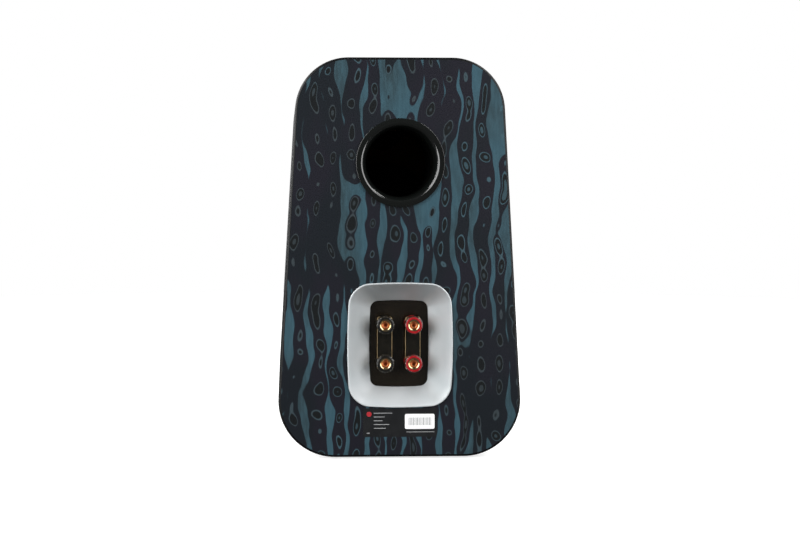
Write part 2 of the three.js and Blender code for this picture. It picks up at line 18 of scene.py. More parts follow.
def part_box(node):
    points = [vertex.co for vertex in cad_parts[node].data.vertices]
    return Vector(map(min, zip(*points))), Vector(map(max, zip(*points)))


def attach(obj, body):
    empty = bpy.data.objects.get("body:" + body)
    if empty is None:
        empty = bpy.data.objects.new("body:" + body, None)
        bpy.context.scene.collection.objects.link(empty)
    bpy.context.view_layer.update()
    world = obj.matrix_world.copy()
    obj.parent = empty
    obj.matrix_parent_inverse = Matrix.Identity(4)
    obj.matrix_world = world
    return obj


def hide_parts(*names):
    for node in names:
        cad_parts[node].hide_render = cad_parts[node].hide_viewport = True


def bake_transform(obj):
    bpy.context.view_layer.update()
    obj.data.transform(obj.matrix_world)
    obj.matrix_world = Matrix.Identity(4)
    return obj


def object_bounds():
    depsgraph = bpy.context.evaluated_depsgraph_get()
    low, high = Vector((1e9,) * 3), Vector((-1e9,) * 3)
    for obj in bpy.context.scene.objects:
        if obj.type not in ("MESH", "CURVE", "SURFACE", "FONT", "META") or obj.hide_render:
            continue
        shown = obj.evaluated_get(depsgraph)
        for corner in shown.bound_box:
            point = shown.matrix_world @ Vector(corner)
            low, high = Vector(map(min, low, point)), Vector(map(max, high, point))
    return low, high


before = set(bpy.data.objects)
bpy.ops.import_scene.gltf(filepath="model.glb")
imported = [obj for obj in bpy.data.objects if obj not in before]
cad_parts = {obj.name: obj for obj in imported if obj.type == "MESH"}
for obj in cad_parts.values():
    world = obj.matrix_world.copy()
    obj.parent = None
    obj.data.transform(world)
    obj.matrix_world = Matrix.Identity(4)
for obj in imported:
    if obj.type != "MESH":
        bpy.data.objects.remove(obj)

cad_low, cad_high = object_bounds()
print("CAD box in mm:", [round(1000 * v) for v in (*cad_low, *cad_high)])

# %% [markdown]
# ## From arrays to a piece
# A turned ring, a lofted dish and a bent strip are all grids: rows along one direction and
# columns along the other. One function numbers the grid's quads, and one makes the mesh. Grids
# repeat their first column at a seam so that a pattern can run right up to it. The doubled
# points are merged afterwards, which closes seams and poles.

# %% Grids and meshes
def grid_quads(rows, columns, close_rows=False, close_columns=False):
    """Quads of a grid of points: each joins a point, its right neighbour and the two above."""
    row = np.arange(rows if close_rows else rows - 1)[:, None]
    column = np.arange(columns if close_columns else columns - 1)[None, :]
    above = (row + 1) % rows
    right = (column + 1) % columns
    corners = [row * columns + column, row * columns + right, above * columns + right, above * columns + column]
    return np.stack(np.broadcast_arrays(*corners), -1).reshape(-1, 4)


def enclosed_volume(points, triangles):
    """Sum over triangles of a . (b x c) / 6, which is negative where faces point inwards."""
    a, b, c = points[triangles[:, 0]], points[triangles[:, 1]], points[triangles[:, 2]]
    return float(np.einsum("ij,ij->i", a, np.cross(b, c)).sum() / 6)


def build_mesh(name, points, faces, grain=None, crease=32.0):
    """A mesh from points and faces (an array of quads, or a list of polygons). grain gives a UV
    pair in metres to each point. Edges sharper than crease degrees stay crisp."""
    points = np.asarray(points, float).reshape(-1, 3)
    faces = [list(map(int, face)) for face in faces]
    fans = np.array([(f[0], f[k], f[k + 1]) for f in faces for k in range(1, len(f) - 1)])
    if enclosed_volume(points - points.mean(0), fans) < 0:
        faces = [face[::-1] for face in faces]
    mesh = bpy.data.meshes.new(name)
    mesh.from_pydata(points.tolist(), [], faces)
    if grain is not None:
        layer = mesh.uv_layers.new(name="grain")
        corner = np.empty(len(mesh.loops), np.int32)
        mesh.loops.foreach_get("vertex_index", corner)
        layer.data.foreach_set("uv", np.asarray(grain, np.float32).reshape(-1, 2)[corner].ravel())
    merge_doubles(mesh)
    mesh.shade_smooth()
    mesh.set_sharp_from_angle(angle=math.radians(crease))
    return mesh


def merge_doubles(mesh, distance=2e-6):
    """Merges points closer than distance and drops the faces that shrink to nothing."""
    work = bmesh.new()
    work.from_mesh(mesh)
    bmesh.ops.remove_doubles(work, verts=work.verts, dist=distance)
    bmesh.ops.dissolve_degenerate(work, edges=work.edges, dist=distance / 4)
    work.to_mesh(mesh)
    work.free()


def vertex_points(mesh):
    """The mesh's vertices, a row of x, y, z for each."""
    flat = np.empty(3 * len(mesh.vertices))
    mesh.vertices.foreach_get("co", flat)
    return flat.reshape(-1, 3)


def place_piece(name, mesh, finish):
    """Puts a mesh with its finish in the scene."""
    piece = bpy.data.objects.new(name, mesh)
    bpy.context.scene.collection.objects.link(piece)
    mesh.materials.append(finish.material)
    return piece


def make_piece(name, mesh, finish, body="root", stands_for=None, slot=None):
    """Puts a mesh in the scene as a piece that rides on a body and may stand for a CAD node."""
    piece = place_piece(name, mesh, finish)
    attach(piece, body)
    if stands_for:
        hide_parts(stands_for)
    return piece


def axis_of(low, high):
    """Where the axis along Y through the middle of a box runs, as (x, z)."""
    return (low.x + high.x) / 2, (low.z + high.z) / 2

# %% [markdown]
# ## Outlines with round corners
# Moulded and machined pieces have no truly sharp corner, and it is the small radius that
# catches the light. An outline here is a few corner points, each with its own radius. The same
# function serves a cabinet seen from behind and the section of a ring.

# %% Rounded outlines
def filleted(points, radii, steps=6, guard=0.0):
    """A closed polygon whose corners become arcs that touch both their sides. The arc's centre
    lies on the corner's bisector, radius / sin(half angle) away. guard adds a point that far
    beyond each end of an arc, which keeps the shading of the long flats flat."""
    points = np.asarray(points, float)
    radii = np.broadcast_to(np.asarray(radii, float), len(points))
    rounded = []
    for here, before, after, radius in zip(points, np.roll(points, 1, 0), np.roll(points, -1, 0), radii):
        a, b = before - here, after - here
        room = min(np.linalg.norm(a), np.linalg.norm(b))
        a, b = a / np.linalg.norm(a), b / np.linalg.norm(b)
        half = math.acos(np.clip(a @ b, -1, 1)) / 2
        if radius <= 0 or half > math.radians(89.5):
            rounded.append(here[None, :])
            continue
        bisector = (a + b) / np.linalg.norm(a + b)
        centre = here + bisector * radius / math.sin(half)
        start, reach = here + a * radius / math.tan(half), radius / math.tan(half)
        turn = (math.pi - 2 * half) * (1 if a[0] * b[1] - a[1] * b[0] < 0 else -1)
        angle = turn * np.linspace(0, 1, steps + 1)
        arm = start - centre
        arc = centre + np.stack([arm[0] * np.cos(angle) - arm[1] * np.sin(angle),
                                 arm[0] * np.sin(angle) + arm[1] * np.cos(angle)], -1)
        extra = guard if 0 < guard and reach + guard < 0.45 * room else 0
        ends = [here + a * (reach + extra), here + b * (reach + extra)]
        rounded.append(np.vstack([ends[0], arc, ends[1]]) if extra else arc)
    return np.vstack(rounded)


def turned(profile, centre, sides=96, axis="y"):
    """Points and quads of a profile of [radius, place along the axis] turned about an axis through
    centre: each profile point runs round a circle of its own radius. The profile is closed, or
    starts and ends on the axis."""
    profile = np.asarray(profile, float)
    ring_shaped = profile[0, 0] > 0 or profile[-1, 0] > 0
    around = np.linspace(0, 2 * math.pi, sides, endpoint=False)
    radius, along = profile[:, :1], profile[:, 1:]
    across, up = radius * np.cos(around), radius * np.sin(around)
    along = np.broadcast_to(along, across.shape)
    stacked = {"y": (across, along, up), "z": (across, up, along), "x": (along, across, up)}[axis]
    points = np.stack(stacked, -1) + np.asarray(centre, float)
    return points.reshape(-1, 3), grid_quads(len(profile), sides, ring_shaped, True)


def ring_section(inner, outer, start, end, radii, steps=5):
    """A ring's section for turned(): a rectangle of radius by place on the axis, corners rounded."""
    return filleted([(inner, start), (outer, start), (outer, end), (inner, end)], radii, steps)


def lofted(loops):
    """Points and quads through loops of equal length: a row for each loop, closed both ways."""
    loops = np.asarray(loops, float)
    return loops.reshape(-1, 3), grid_quads(loops.shape[0], loops.shape[1], True, True)


def flat_loop(outline, y):
    """An outline of [x, z] placed at y."""
    outline = np.asarray(outline, float)
    return np.stack([outline[:, 0], np.full(len(outline), y), outline[:, 1]], -1)

# %% [markdown]
# ## Shader nodes as arithmetic
# A node material is a formula, and drawing a formula as boxes and wires hides what it says. A
# small class stands for a socket that carries a number and turns +, -, * and / into Math nodes.
# Anything else, such as a noise or a colour mix, comes from one method that takes the node's
# type, its settings and its inputs.

# %% A finish and its signals
class Signal:
    """A number or colour that varies over a surface, as the output socket of a node."""

    def __init__(self, finish, socket):
        self.finish = finish
        self.socket = socket

    def _math(self, operation, first, second=0.0):
        return self.finish.node("Math", {"operation": operation}, {0: first, 1: second})

    def __add__(self, other):
        return self._math("ADD", self, other)

    def __sub__(self, other):
        return self._math("SUBTRACT", self, other)

    def __rsub__(self, other):
        return self._math("SUBTRACT", other, self)

    def __mul__(self, other):
        return self._math("MULTIPLY", self, other)

    def __truediv__(self, other):
        return self._math("DIVIDE", self, other)

    def __abs__(self):
        return self._math("ABSOLUTE", self)

    __radd__ = __add__
    __rmul__ = __mul__

    def rises(self, low, high):
        """0 below low, 1 above high and a smooth step between. With low > high it falls."""
        settings = {"interpolation_type": "SMOOTHSTEP", "clamp": True}
        if low < high:
            return self.finish.node("MapRange", settings, {0: self, 1: low, 2: high, 3: 0.0, 4: 1.0})
        return self.finish.node("MapRange", settings, {0: self, 1: high, 2: low, 3: 1.0, 4: 0.0})


class Finish:
    """A material with one Principled shader. Its fixed values are set on the shader's sockets."""

    def __init__(self, name, **fixed):
        self.material = bpy.data.materials.new(name)
        self.material.use_nodes = True
        self.tree = self.material.node_tree
        self.tree.nodes.clear()
        self.shader = self.tree.nodes.new("ShaderNodeBsdfPrincipled")
        out = self.tree.nodes.new("ShaderNodeOutputMaterial")
        self.tree.links.new(self.shader.outputs[0], out.inputs[0])
        for key, value in fixed.items():
            self.set(key.replace("_", " ").title().replace("Ior", "IOR"), value)

    def set(self, socket, value):
        """Sets or links one of the shader's sockets."""
        target = self.shader.inputs[socket]
        if isinstance(value, Signal):
            self.tree.links.new(value.socket, target)
        elif target.type == "RGBA":
            target.default_value = (*value[:3], 1.0)
        else:
            target.default_value = value

    def node(self, kind, settings=None, inputs=None, output=0):
        """Adds a node: its settings first, then the values or links of its sockets."""
        made = self.tree.nodes.new("ShaderNode" + kind)
        for key, value in (settings or {}).items():
            setattr(made, key, value)
        for key, value in (inputs or {}).items():
            if isinstance(value, Signal):
                self.tree.links.new(value.socket, made.inputs[key])
            elif hasattr(value, "__len__") and made.inputs[key].type == "RGBA":
                made.inputs[key].default_value = (*value[:3], 1.0)
            else:
                made.inputs[key].default_value = value
        return Signal(self, made.outputs[output])

    def place(self):
        """The point on the piece, in metres in the speaker's own frame."""
        return self.node("TexCoord", output=3)

    def grain(self):
        """The piece's own UV map: across and along the veneer's grain, in metres."""
        return self.node("UVMap", {"uv_map": "grain"})

    def split(self, vector):
        """The three numbers of a vector."""
        return [self.node("SeparateXYZ", inputs={0: vector}, output=k) for k in range(3)]

    def join(self, x, y, z=0.0):
        return self.node("CombineXYZ", inputs={0: x, 1: y, 2: z})

    def scaled(self, vector, scale):
        """The vector with each part multiplied by that part of scale."""
        return self.node("VectorMath", {"operation": "MULTIPLY"}, {0: vector, 1: scale})

    def noise(self, vector, detail=2.0, rough=0.5, flat=False):
        """Smooth noise from 0 to 1 with features about one unit of vector wide."""
        return self.node("TexNoise", {"noise_dimensions": "2D" if flat else "3D"},
                         {"Vector": vector, "Scale": 1.0, "Detail": detail, "Roughness": rough})

    def blend(self, mask, below, above):
        """Colour below where the mask is 0 and above where it is 1."""
        return self.node("Mix", {"data_type": "RGBA"}, {0: mask, 6: below, 7: above}, output=2)

    def bump(self, height, strength, distance):
        """Bends the shading normal as if the surface stood height x distance metres proud."""
        normal = self.node("Bump", inputs={"Height": height, "Strength": strength, "Distance": distance})
        self.set("Normal", normal)


def linear(red, green, blue):
    """A colour given as it looks on a screen, from 0 to 255, in the shader's linear light."""
    parts = np.array([red, green, blue]) / 255
    return tuple(np.where(parts <= 0.04045, parts / 12.92, ((parts + 0.055) / 1.055) ** 2.4))

# %% [markdown]
# ## Camera and studio
# The lens stands a little to the side of the black posts and above the port's foot, so the posts
# lean away and a sliver of the near side shows. It looks down at the cabinet's middle height but
# turns only half the way to it, and the film is shifted for the rest: turning all the way would
# slope the top edge. A gloss surface shows the room more than itself, so the room is built for
# its reflections: white for the eye, dark in the gloss, with tall soft lights beside and behind
# the cabinet that draw its bright lines.

# %% Camera
EYE_ASIDE, EYE_HEIGHT, EYE_DISTANCE = 0.114, 0.268, 1.40  # from the middle of the rear face's foot
FRAME_WIDTH = 0.7960  # of the plane through the cabinet's rear
FRAME_MIDDLE = (0.0002, 0.19312)  # the point of that plane at the middle of the frame
TURNED = 0.5  # share of the sideways aim that is made by turning and not by shifting
camera_data = bpy.data.cameras.new("camera")
camera = bpy.data.objects.new("camera", camera_data)
bpy.context.scene.collection.objects.link(camera)
rear_plane = cad_high.y - 0.002  # the port's lip stands 2 mm proud of the rear face
camera.location = (EYE_ASIDE, rear_plane + EYE_DISTANCE, EYE_HEIGHT)
gaze = Vector((EYE_ASIDE + TURNED * (FRAME_MIDDLE[0] - EYE_ASIDE), rear_plane, FRAME_MIDDLE[1])) - camera.location
aim = gaze.to_track_quat("-Z", "Y")
camera.rotation_euler = aim.to_euler()
middle = Vector((FRAME_MIDDLE[0], rear_plane, FRAME_MIDDLE[1])) - camera.location
middle.rotate(aim.inverted())
camera_data.sensor_width = 36.0
camera_data.lens = camera_data.sensor_width * -middle.z / FRAME_WIDTH
camera_data.shift_x, camera_data.shift_y = middle.x / FRAME_WIDTH, middle.y / FRAME_WIDTH
bpy.context.scene.camera = camera
print("lens in mm:", round(camera_data.lens, 1))
print("film shift:", round(camera_data.shift_x, 4), round(camera_data.shift_y, 4))


# %% Floor, world and lights
def soft_light(name, size, place, target, power):
    """A rectangular soft box of size (width, height) at place, facing target. power is in watts."""
    data = bpy.data.lights.new(name, "AREA")
    data.shape = "RECTANGLE"
    data.size, data.size_y = size
    data.energy = power
    light = bpy.data.objects.new(name, data)
    bpy.context.scene.collection.objects.link(light)
    light.location = place
    light.rotation_euler = (Vector(target) - Vector(place)).to_track_quat("-Z", "Y").to_euler()
    return light


def add_floor():
    """A round white floor that only the eye and the shadows see: it glows almost white by
    itself and fully so beyond half a metre, and sends no light to the speaker."""
    radius, sides = 2.2, 96
    ring = np.linspace(0, 2 * math.pi, sides, endpoint=False)
    points = np.stack([radius * np.cos(ring), radius * np.sin(ring), np.zeros(sides)], -1)
    mesh = bpy.data.meshes.new("studio_floor")
    mesh.from_pydata(points.tolist(), [], [list(range(sides))])
    floor = bpy.data.objects.new("studio_floor", mesh)
    bpy.context.scene.collection.objects.link(floor)
    white = Finish("floor_white", base_color=(0.5, 0.5, 0.5), roughness=0.9)
    white.set("Specular IOR Level", 0.0)
    x, y, _ = white.split(white.place())
    glow = (x * x + y * y).rises(0.10, 0.30) * 0.35 + 0.72
    white.set("Emission Color", white.join(glow, glow, glow))
    white.set("Emission Strength", 1.0)
    mesh.materials.append(white.material)
    floor.visible_glossy = floor.visible_diffuse = floor.visible_transmission = False


def light_world(seen, mirrored):
    """White to the eye and at another strength to every other ray."""
    world = bpy.data.worlds.new("studio")
    bpy.context.scene.world = world
    world.use_nodes = True
    nodes, links = world.node_tree.nodes, world.node_tree.links
    nodes.clear()
    path = nodes.new("ShaderNodeLightPath")
    strength = nodes.new("ShaderNodeMapRange")
    strength.inputs["To Min"].default_value = mirrored
    strength.inputs["To Max"].default_value = seen
    back = nodes.new("ShaderNodeBackground")
    back.inputs["Color"].default_value = (1, 1, 1, 1)
    out = nodes.new("ShaderNodeOutputWorld")
    links.new(path.outputs["Is Camera Ray"], strength.inputs["Value"])
    links.new(strength.outputs[0], back.inputs["Strength"])
    links.new(back.outputs[0], out.inputs[0])


add_floor()
light_world(seen=1.0, mirrored=0.07)
soft_light("left_rim", (0.3, 1.1), (1.25, 0.10, 0.80), (0, 0.1, 0.25), 18)
soft_light("left_box", (1.15, 1.7), (1.15, 1.05, 0.60), (0, 0.1, 0.2), 36)
soft_light("right_box", (1.05, 1.7), (-1.15, 1.05, 0.60), (0, 0.1, 0.2), 30)
soft_light("right_shoulder", (0.5, 0.5), (-0.95, 0.10, 1.45), (0, 0.1, 0.3), 10)
front_far = soft_light("front_far", (0.6, 1.2), (-1.1, -1.2, 0.8), (0, -0.1, 0.2), 22)
soft_light("front_near", (0.6, 1.2), (1.1, -1.2, 0.8), (0, -0.1, 0.2), 11)
overhead = soft_light("overhead", (1.2, 1.2), (0, 0.7, 1.9), (0, 0.05, 0.1), 18)
overhead.visible_glossy = front_far.visible_glossy = False
scene_view = bpy.context.scene.view_settings
scene_view.view_transform = "Standard"
scene_view.look = "None"

# %% [markdown]
# ## Figured veneer
# This veneer is cut from a block of dyed sheets that were pressed over rows of studs. A slice
# through the block shows every stud as an eye: a thin pale ring with a dark inside. Between the
# rows of studs the slice reaches down into a thick teal sheet, and that gives long pointed streaks.
# So the finish is a height map with a colour for each band of height. Studs whose lifts touch share
# one ring, which gives the figure its peanut shapes and long loops.

# %% The veneer's height map and its bands of colour
STUD_ROWS, STUDS_ALONG = 54.0, 43.0  # rows per metre across the grain, studs per metre along it
STUD_WIDTH = 0.205  # of a stud's bump across its row, as a share of the distance between rows


def figured_veneer():
    """u counts rows of studs across the grain and v counts studs along it. Two rows count, and
    two studs in each. A row wanders by a smooth noise, and its band is exp(-(beside / width)^2),
    where the width is a noise too and some stretches of row are absent. A stud lifts the sheets
    by strength * exp(-(beside / STUD_WIDTH)^2 - (beyond / length)^2), with a place, a strength and
    a length of its own. Lifts add up, and of two bands the higher one counts."""
    finish = Finish("figured_veneer", roughness=0.32, coat_weight=1.0, coat_roughness=0.025)
    across, along, _ = finish.split(finish.grain())
    sway = finish.noise(finish.join(across * 22, along * 12), detail=2.0, flat=True) - 0.5
    u, v = (across + sway * 0.022) * STUD_ROWS, along * STUDS_ALONG

    def whole(value):
        return finish.node("Math", {"operation": "FLOOR"}, {0: value})

    def falls(square):
        return finish.node("Math", {"operation": "EXPONENT"}, {0: square * -1.0})

    def stud_row(row):
        """The band and the lift of one row of studs at the whole number row."""
        wander = finish.noise(finish.join(row * 7.31, v * 0.42), detail=1.0, flat=True) - 0.5
        beside = u - row - wander * 0.8
        width = finish.noise(finish.join(row * 5.17, v * 0.50 + 40.0), detail=1.5, flat=True) * 0.50 + 0.12
        present = finish.noise(finish.join(row * 9.73, v * 0.21 + 80.0), detail=0.0, flat=True).rises(0.28, 0.42)
        band = falls(beside * beside / (width * width)) * present
        place = v + finish.noise(finish.join(row * 3.7, 0.5), detail=0.0, flat=True) * 5.0
        first = whole(place)
        lift = None
        for nearer in (0.0, 1.0):
            stud = first + nearer
            cast = finish.node("TexWhiteNoise", {"noise_dimensions": "2D"}, {"Vector": finish.join(row, stud)}, 1)
            jitter, strength, stretch = finish.split(cast)
            beyond = (place - stud - (jitter - 0.5) * 0.55) / (stretch * 0.26 + 0.19)
            near = beside / STUD_WIDTH
            one = falls(near * near + beyond * beyond) * (strength * 0.95 + 0.45)
            lift = one if lift is None else lift + one
        return band, lift

    row = whole(u)
    (band_left, lift_left), (band_right, lift_right) = stud_row(row), stud_row(row + 1.0)
    band = finish.node("Math", {"operation": "SMOOTH_MAX"}, {0: band_left, 1: band_right, 2: 0.12})
    lift = lift_left + lift_right

    region = finish.noise(finish.join(across * 8, along * 4.5), detail=1, flat=True)
    swell = finish.noise(finish.join(across * 60, along * 14, 3.0), detail=2.0)
    level = band + lift * 0.75 + (0.53 - region) * 0.9 + (swell - 0.5) * 0.40
    streak = level.rises(0.42, 0.36)

    cloud = finish.noise(finish.join(across * 22, along * 12), detail=2, flat=True)
    mottle = finish.noise(finish.join(across * 300, along * 60), detail=3, flat=True)
    ground = finish.blend(cloud.rises(0.35, 0.65), linear(*GROUND[0]), linear(*GROUND[1]))
    teal = finish.blend(cloud.rises(0.3, 0.7), linear(*TEAL[0]), linear(*TEAL[1]))
    teal = finish.blend(mottle.rises(0.3, 0.8) * 0.35, teal, linear(*TEAL[2]))
    pale = finish.blend(region.rises(0.35, 0.60), linear(*RING[0]), linear(*RING[1]))

    colour = finish.blend(streak, ground, teal)
    outline = lift + (swell - 0.5) * 0.40
    colour = finish.blend(outline.rises(*RING_AT), colour, pale)
    colour = finish.blend(outline.rises(*INSIDE_AT), colour, linear(*DEEP))
    colour = finish.blend(lift.rises(*HEART_AT) * 0.7, colour, pale)
    finish.set("Base Color", colour)
    return finish


# The lift at which a stud's pale ring begins, where its dark inside does, and where a light heart does.
RING_AT, INSIDE_AT, HEART_AT = (0.42, 0.48), (0.55, 0.62), (1.03, 1.12)
# Colours as they look on a screen: the ground, a stud's inside, the streaks, and the rings.
GROUND = (13, 19, 25), (19, 19, 28)
DEEP = (9, 13, 15)
TEAL = (38, 55, 61), (46, 74, 85), (60, 90, 101)
RING = (46, 54, 58), (52, 76, 85)
veneer = figured_veneer()

# %% [markdown]
# ## The cabinet
# Seen from behind the cabinet is a trapezoid with generous corners. The side wrap is one bent
# skin, veneered with the grain running up the sides and over the top, and the two ends are flat
# panels let into it. Between wrap and panel runs a narrow rounded bead of black lacquer, which
# protects the veneer's edge. A 2-D curve with bevel could make the panels, but arrays keep full
# control of the grain map that the veneer needs.

# %% The cabinet's outline
BOTTOM_WIDTH, TOP_WIDTH = 0.250, 0.2025
BOTTOM_CORNER, TOP_CORNER = 0.057, 0.053
WALL = 0.018
BEAD = 0.0024
SEAT_GAP = 0.0004  # from a CAD end panel's inner face out to the shoulder of the wrap that carries it
wrap_low, wrap_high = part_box("cabinet_wrap")
rear_low, rear_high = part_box("rear_panel")
baffle_low, baffle_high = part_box("front_baffle")


def cabinet_outline(inset, steps=24):
    """The trapezoid's four sides moved inwards by inset, with each corner's radius cut by as
    much. It starts at the middle of the bottom, and has the same count of points at any inset."""
    z0, z1 = wrap_low.z, wrap_high.z
    lean = (BOTTOM_WIDTH - TOP_WIDTH) / 2 / (z1 - z0)
    shift = inset * math.hypot(1, lean)
    bottom, top = z0 + inset, z1 - inset
    wide, narrow = (BOTTOM_WIDTH / 2 - lean * (z - z0) - shift for z in (bottom, top))
    corners = [(0.0, bottom), (wide, bottom), (narrow, top), (-narrow, top), (-wide, bottom)]
    radii = [0, BOTTOM_CORNER - inset, TOP_CORNER - inset, TOP_CORNER - inset, BOTTOM_CORNER - inset]
    return filleted(corners, radii, steps)


def running_length(loop):
    """The distance round a closed loop to each of its points, and all the way round."""
    steps = np.linalg.norm(np.roll(loop, -1, 0) - loop, axis=1)
    return np.concatenate([[0], np.cumsum(steps)])


# %% The wrap
def add_wrap():
    """A ring lofted along Y: out along the skin, in over the edge and back along the inside.
    Its grain map is (place along Y, distance round the outline)."""
    front, rear = baffle_low.y + BEAD, rear_high.y - BEAD
    rear_seat, front_seat = rear_low.y + SEAT_GAP, baffle_high.y - SEAT_GAP
    section = [(0.0, front), (0.0, rear), (BEAD, rear), (BEAD, rear_seat), (WALL, rear_seat), (WALL, front_seat),
               (BEAD, front_seat), (BEAD, front)]
    around = running_length(cabinet_outline(0.0))
    rows, grain = [], []
    travelled = 0.0
    for k, (inset, y) in enumerate(section):
        loop = cabinet_outline(inset)
        loop = np.vstack([loop, loop[:1]])
        if k:
            travelled += math.dist(section[k], section[k - 1])
        rows.append(flat_loop(loop, y))
        grain.append(np.stack([np.full(len(loop), front + travelled), around], -1))
    rows.append(rows[0])
    grain.append(grain[0] + [travelled + 0.02, 0])
    quads = grid_quads(len(rows), rows[0].shape[0])
    mesh = build_mesh("cabinet_wrap_skin", np.concatenate(rows), quads, np.concatenate(grain))
    return make_piece("cabinet_wrap_skin", mesh, veneer, stands_for="cabinet_wrap", slot="veneer")


wrap_skin = add_wrap()
print("wrap:", len(wrap_skin.data.polygons), "faces")


# %% Flat panels with holes
def quarter_round(edge, y, inward, steps=4):
    """(inset, y) pairs from the flat of a face at y round an edge of that radius to its side."""
    turn = np.linspace(0, math.pi / 2, steps + 1)
    return [(edge * (1 - math.sin(t)), y + inward * edge * (1 - math.cos(t))) for t in turn]


def panel_mesh(name, outer, holes, y0, y1, grain_shift=(0.0, 0.0), edge=0.0, crease=32.0):
    """A slab along Y over an outline with holes, with its edges rounded by edge. outer and each
    hole are functions from an inset to a loop. A constrained Delaunay triangulation fills each
    face, triangles whose middle lies in a hole are dropped, and rings of quads close the sides."""
    section = quarter_round(edge, y1, -1) + quarter_round(edge, y0, 1)[::-1] if edge else [(0, y1), (0, y0)]
    outlines = [outer, *holes]
    loops = [np.asarray(outline(edge)) for outline in outlines]
    starts = np.cumsum([0] + [len(loop) for loop in loops])
    edges = [(s + k, s + (k + 1) % len(loop)) for s, loop in zip(starts, loops) for k in range(len(loop))]
    points, _, fill, *_ = delaunay_2d_cdt([Vector(p) for p in np.concatenate(loops)], edges, [], 1, 1e-7)
    points = np.array([tuple(p) for p in points])
    middles = np.array([points[list(face)].mean(0) for face in fill])
    wanted = ~np.any([inside(middles, loop) for loop in loops[1:]], axis=0) if holes else np.ones(len(fill), bool)
    fill = [list(face) for face, keep in zip(fill, wanted) if keep]
    count = len(points)
    vertices, grain = [flat_loop(points, y0), flat_loop(points, y1)], [points, points]
    faces = [face[::-1] for face in fill] + [[v + count for v in face] for face in fill]
    total = 2 * count
    for k, outline in enumerate(outlines):
        rows = [np.asarray(outline(inset)) for inset, _ in section]
        ring = grid_quads(len(section), len(rows[0]), False, True) + total
        faces += (ring if k else ring[:, ::-1]).tolist()
        vertices += [flat_loop(row, y) for row, (_, y) in zip(rows, section)]
        grain += rows
        total += len(section) * len(rows[0])
    return build_mesh(name, np.concatenate(vertices), faces, np.concatenate(grain) + grain_shift, crease)


def inside(points, loop):
    """Which points lie in a closed loop: a ray to +X crosses it an odd number of times."""
    x, z = points[:, :1], points[:, 1:]
    (x0, z0), (x1, z1) = loop.T, np.roll(loop, -1, 0).T
    crosses = (z0 > z) != (z1 > z)
    with np.errstate(divide="ignore", invalid="ignore"):
        at = x0 + (z - z0) * (x1 - x0) / (z1 - z0)
    return (np.sum(crosses & (x < at), axis=1) % 2).astype(bool)


def circle(radius, x, z, sides=96):
    """A function from an inset to the circle of points about (x, z) that bounds a hole: the hole
    widens as its rim is cut back."""
    angle = np.linspace(0, 2 * math.pi, sides, endpoint=False)
    return lambda inset=0.0: np.stack([x + (radius + inset) * np.cos(angle), z + (radius + inset) * np.sin(angle)], -1)


def barrel(width, height, radius, bulge, x, z, steps=12, between=14):
    """A round-cornered rectangle whose sides bow out: a side point at (x, z) from the middle is
    drawn in by bulge times the square of its place along the side, so the middles stay put."""
    a, b = width / 2, height / 2
    square = filleted([(a, -b), (a, b), (-a, b), (-a, -b)], radius, steps)
    following = np.roll(square, -1, 0)
    span = []
    for k, (here, after) in enumerate(zip(square, following)):
        count = between + 1 if k % (steps + 1) == steps else 1
        span.append(here + (after - here) * np.arange(count)[:, None] / count)
    loop = np.concatenate(span)
    u, v = loop[:, 0], loop[:, 1]
    return np.stack([x + u * (1 - bulge / a * (v / b) ** 2), z + v * (1 - bulge / b * (u / a) ** 2)], -1)


# %% Rear panel, front baffle and the two beads
port_low, port_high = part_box("port_flare")
port_centre = axis_of(port_low, port_high)
PORT_NECK = 0.0403
bezel_low, bezel_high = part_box("terminal_bezel")
bezel_centre = axis_of(bezel_low, bezel_high)
BEZEL_CORNER, BEZEL_BULGE, BEZEL_RIM = 0.020, 0.0026, 0.0022
bezel_width, bezel_height = bezel_high.x - bezel_low.x, bezel_high.z - bezel_low.z


def add_panels():
    """The two end panels, let into the wrap behind the bead. The front one is in two layers: the
    flanges of the drivers sit in the holes of the outer layer, flush with it."""
    def outline(inset):
        return cabinet_outline(BEAD + inset)

    def dish_hole(inset):
        grow = 2 * inset - 2 * BEZEL_RIM + 0.0006  # 0.3 mm clear of the dish all round
        return barrel(bezel_width + grow, bezel_height + grow, BEZEL_CORNER - BEZEL_RIM + inset, BEZEL_BULGE,
                      *bezel_centre)

    rear = panel_mesh("rear_panel_veneered", outline, [circle(PORT_NECK, *port_centre), dish_hole],
                      rear_low.y + SEAT_GAP, rear_high.y, (0.731, 0.257))
    make_piece("rear_panel_veneered", rear, veneer, stands_for="rear_panel", slot="veneer")
    outer_holes, inner_holes = [], []
    for node, step in (("woofer_basket", 0.0037), ("mid_basket", 0.0037), ("tweeter_faceplate", 0.0117)):
        low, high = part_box(node)
        radius, place = (high.x - low.x) / 2, axis_of(low, high)
        outer_holes.append(circle(radius + 0.0003, *place))
        inner_holes.append(circle(radius - step, *place))  # step is the shoulder under the flange
    rebate = baffle_low.y + 0.0041  # a hair deeper than a flange is thick
    front = panel_mesh("front_baffle_veneered", outline, outer_holes, baffle_low.y, rebate, (1.913, 1.377))
    make_piece("front_baffle_veneered", front, veneer, stands_for="front_baffle", slot="veneer")
    core = panel_mesh("front_baffle_core", outline, inner_holes, rebate, baffle_high.y - SEAT_GAP)
    make_piece("front_baffle_core", core, raw_board)


def add_bead(name, y_edge, inward):
    """A quarter-round strip of radius BEAD round the cabinet's edge. inward is the direction
    along Y from the edge into the cabinet."""
    hidden = y_edge + inward * (BEAD + 0.0002)
    section = quarter_round(BEAD, y_edge, inward, 8) + [(0.0, hidden), (BEAD, hidden)]
    loops = [flat_loop(cabinet_outline(inset), y) for inset, y in section]
    make_piece(name, build_mesh(name, *lofted(loops), crease=50), black_lacquer)


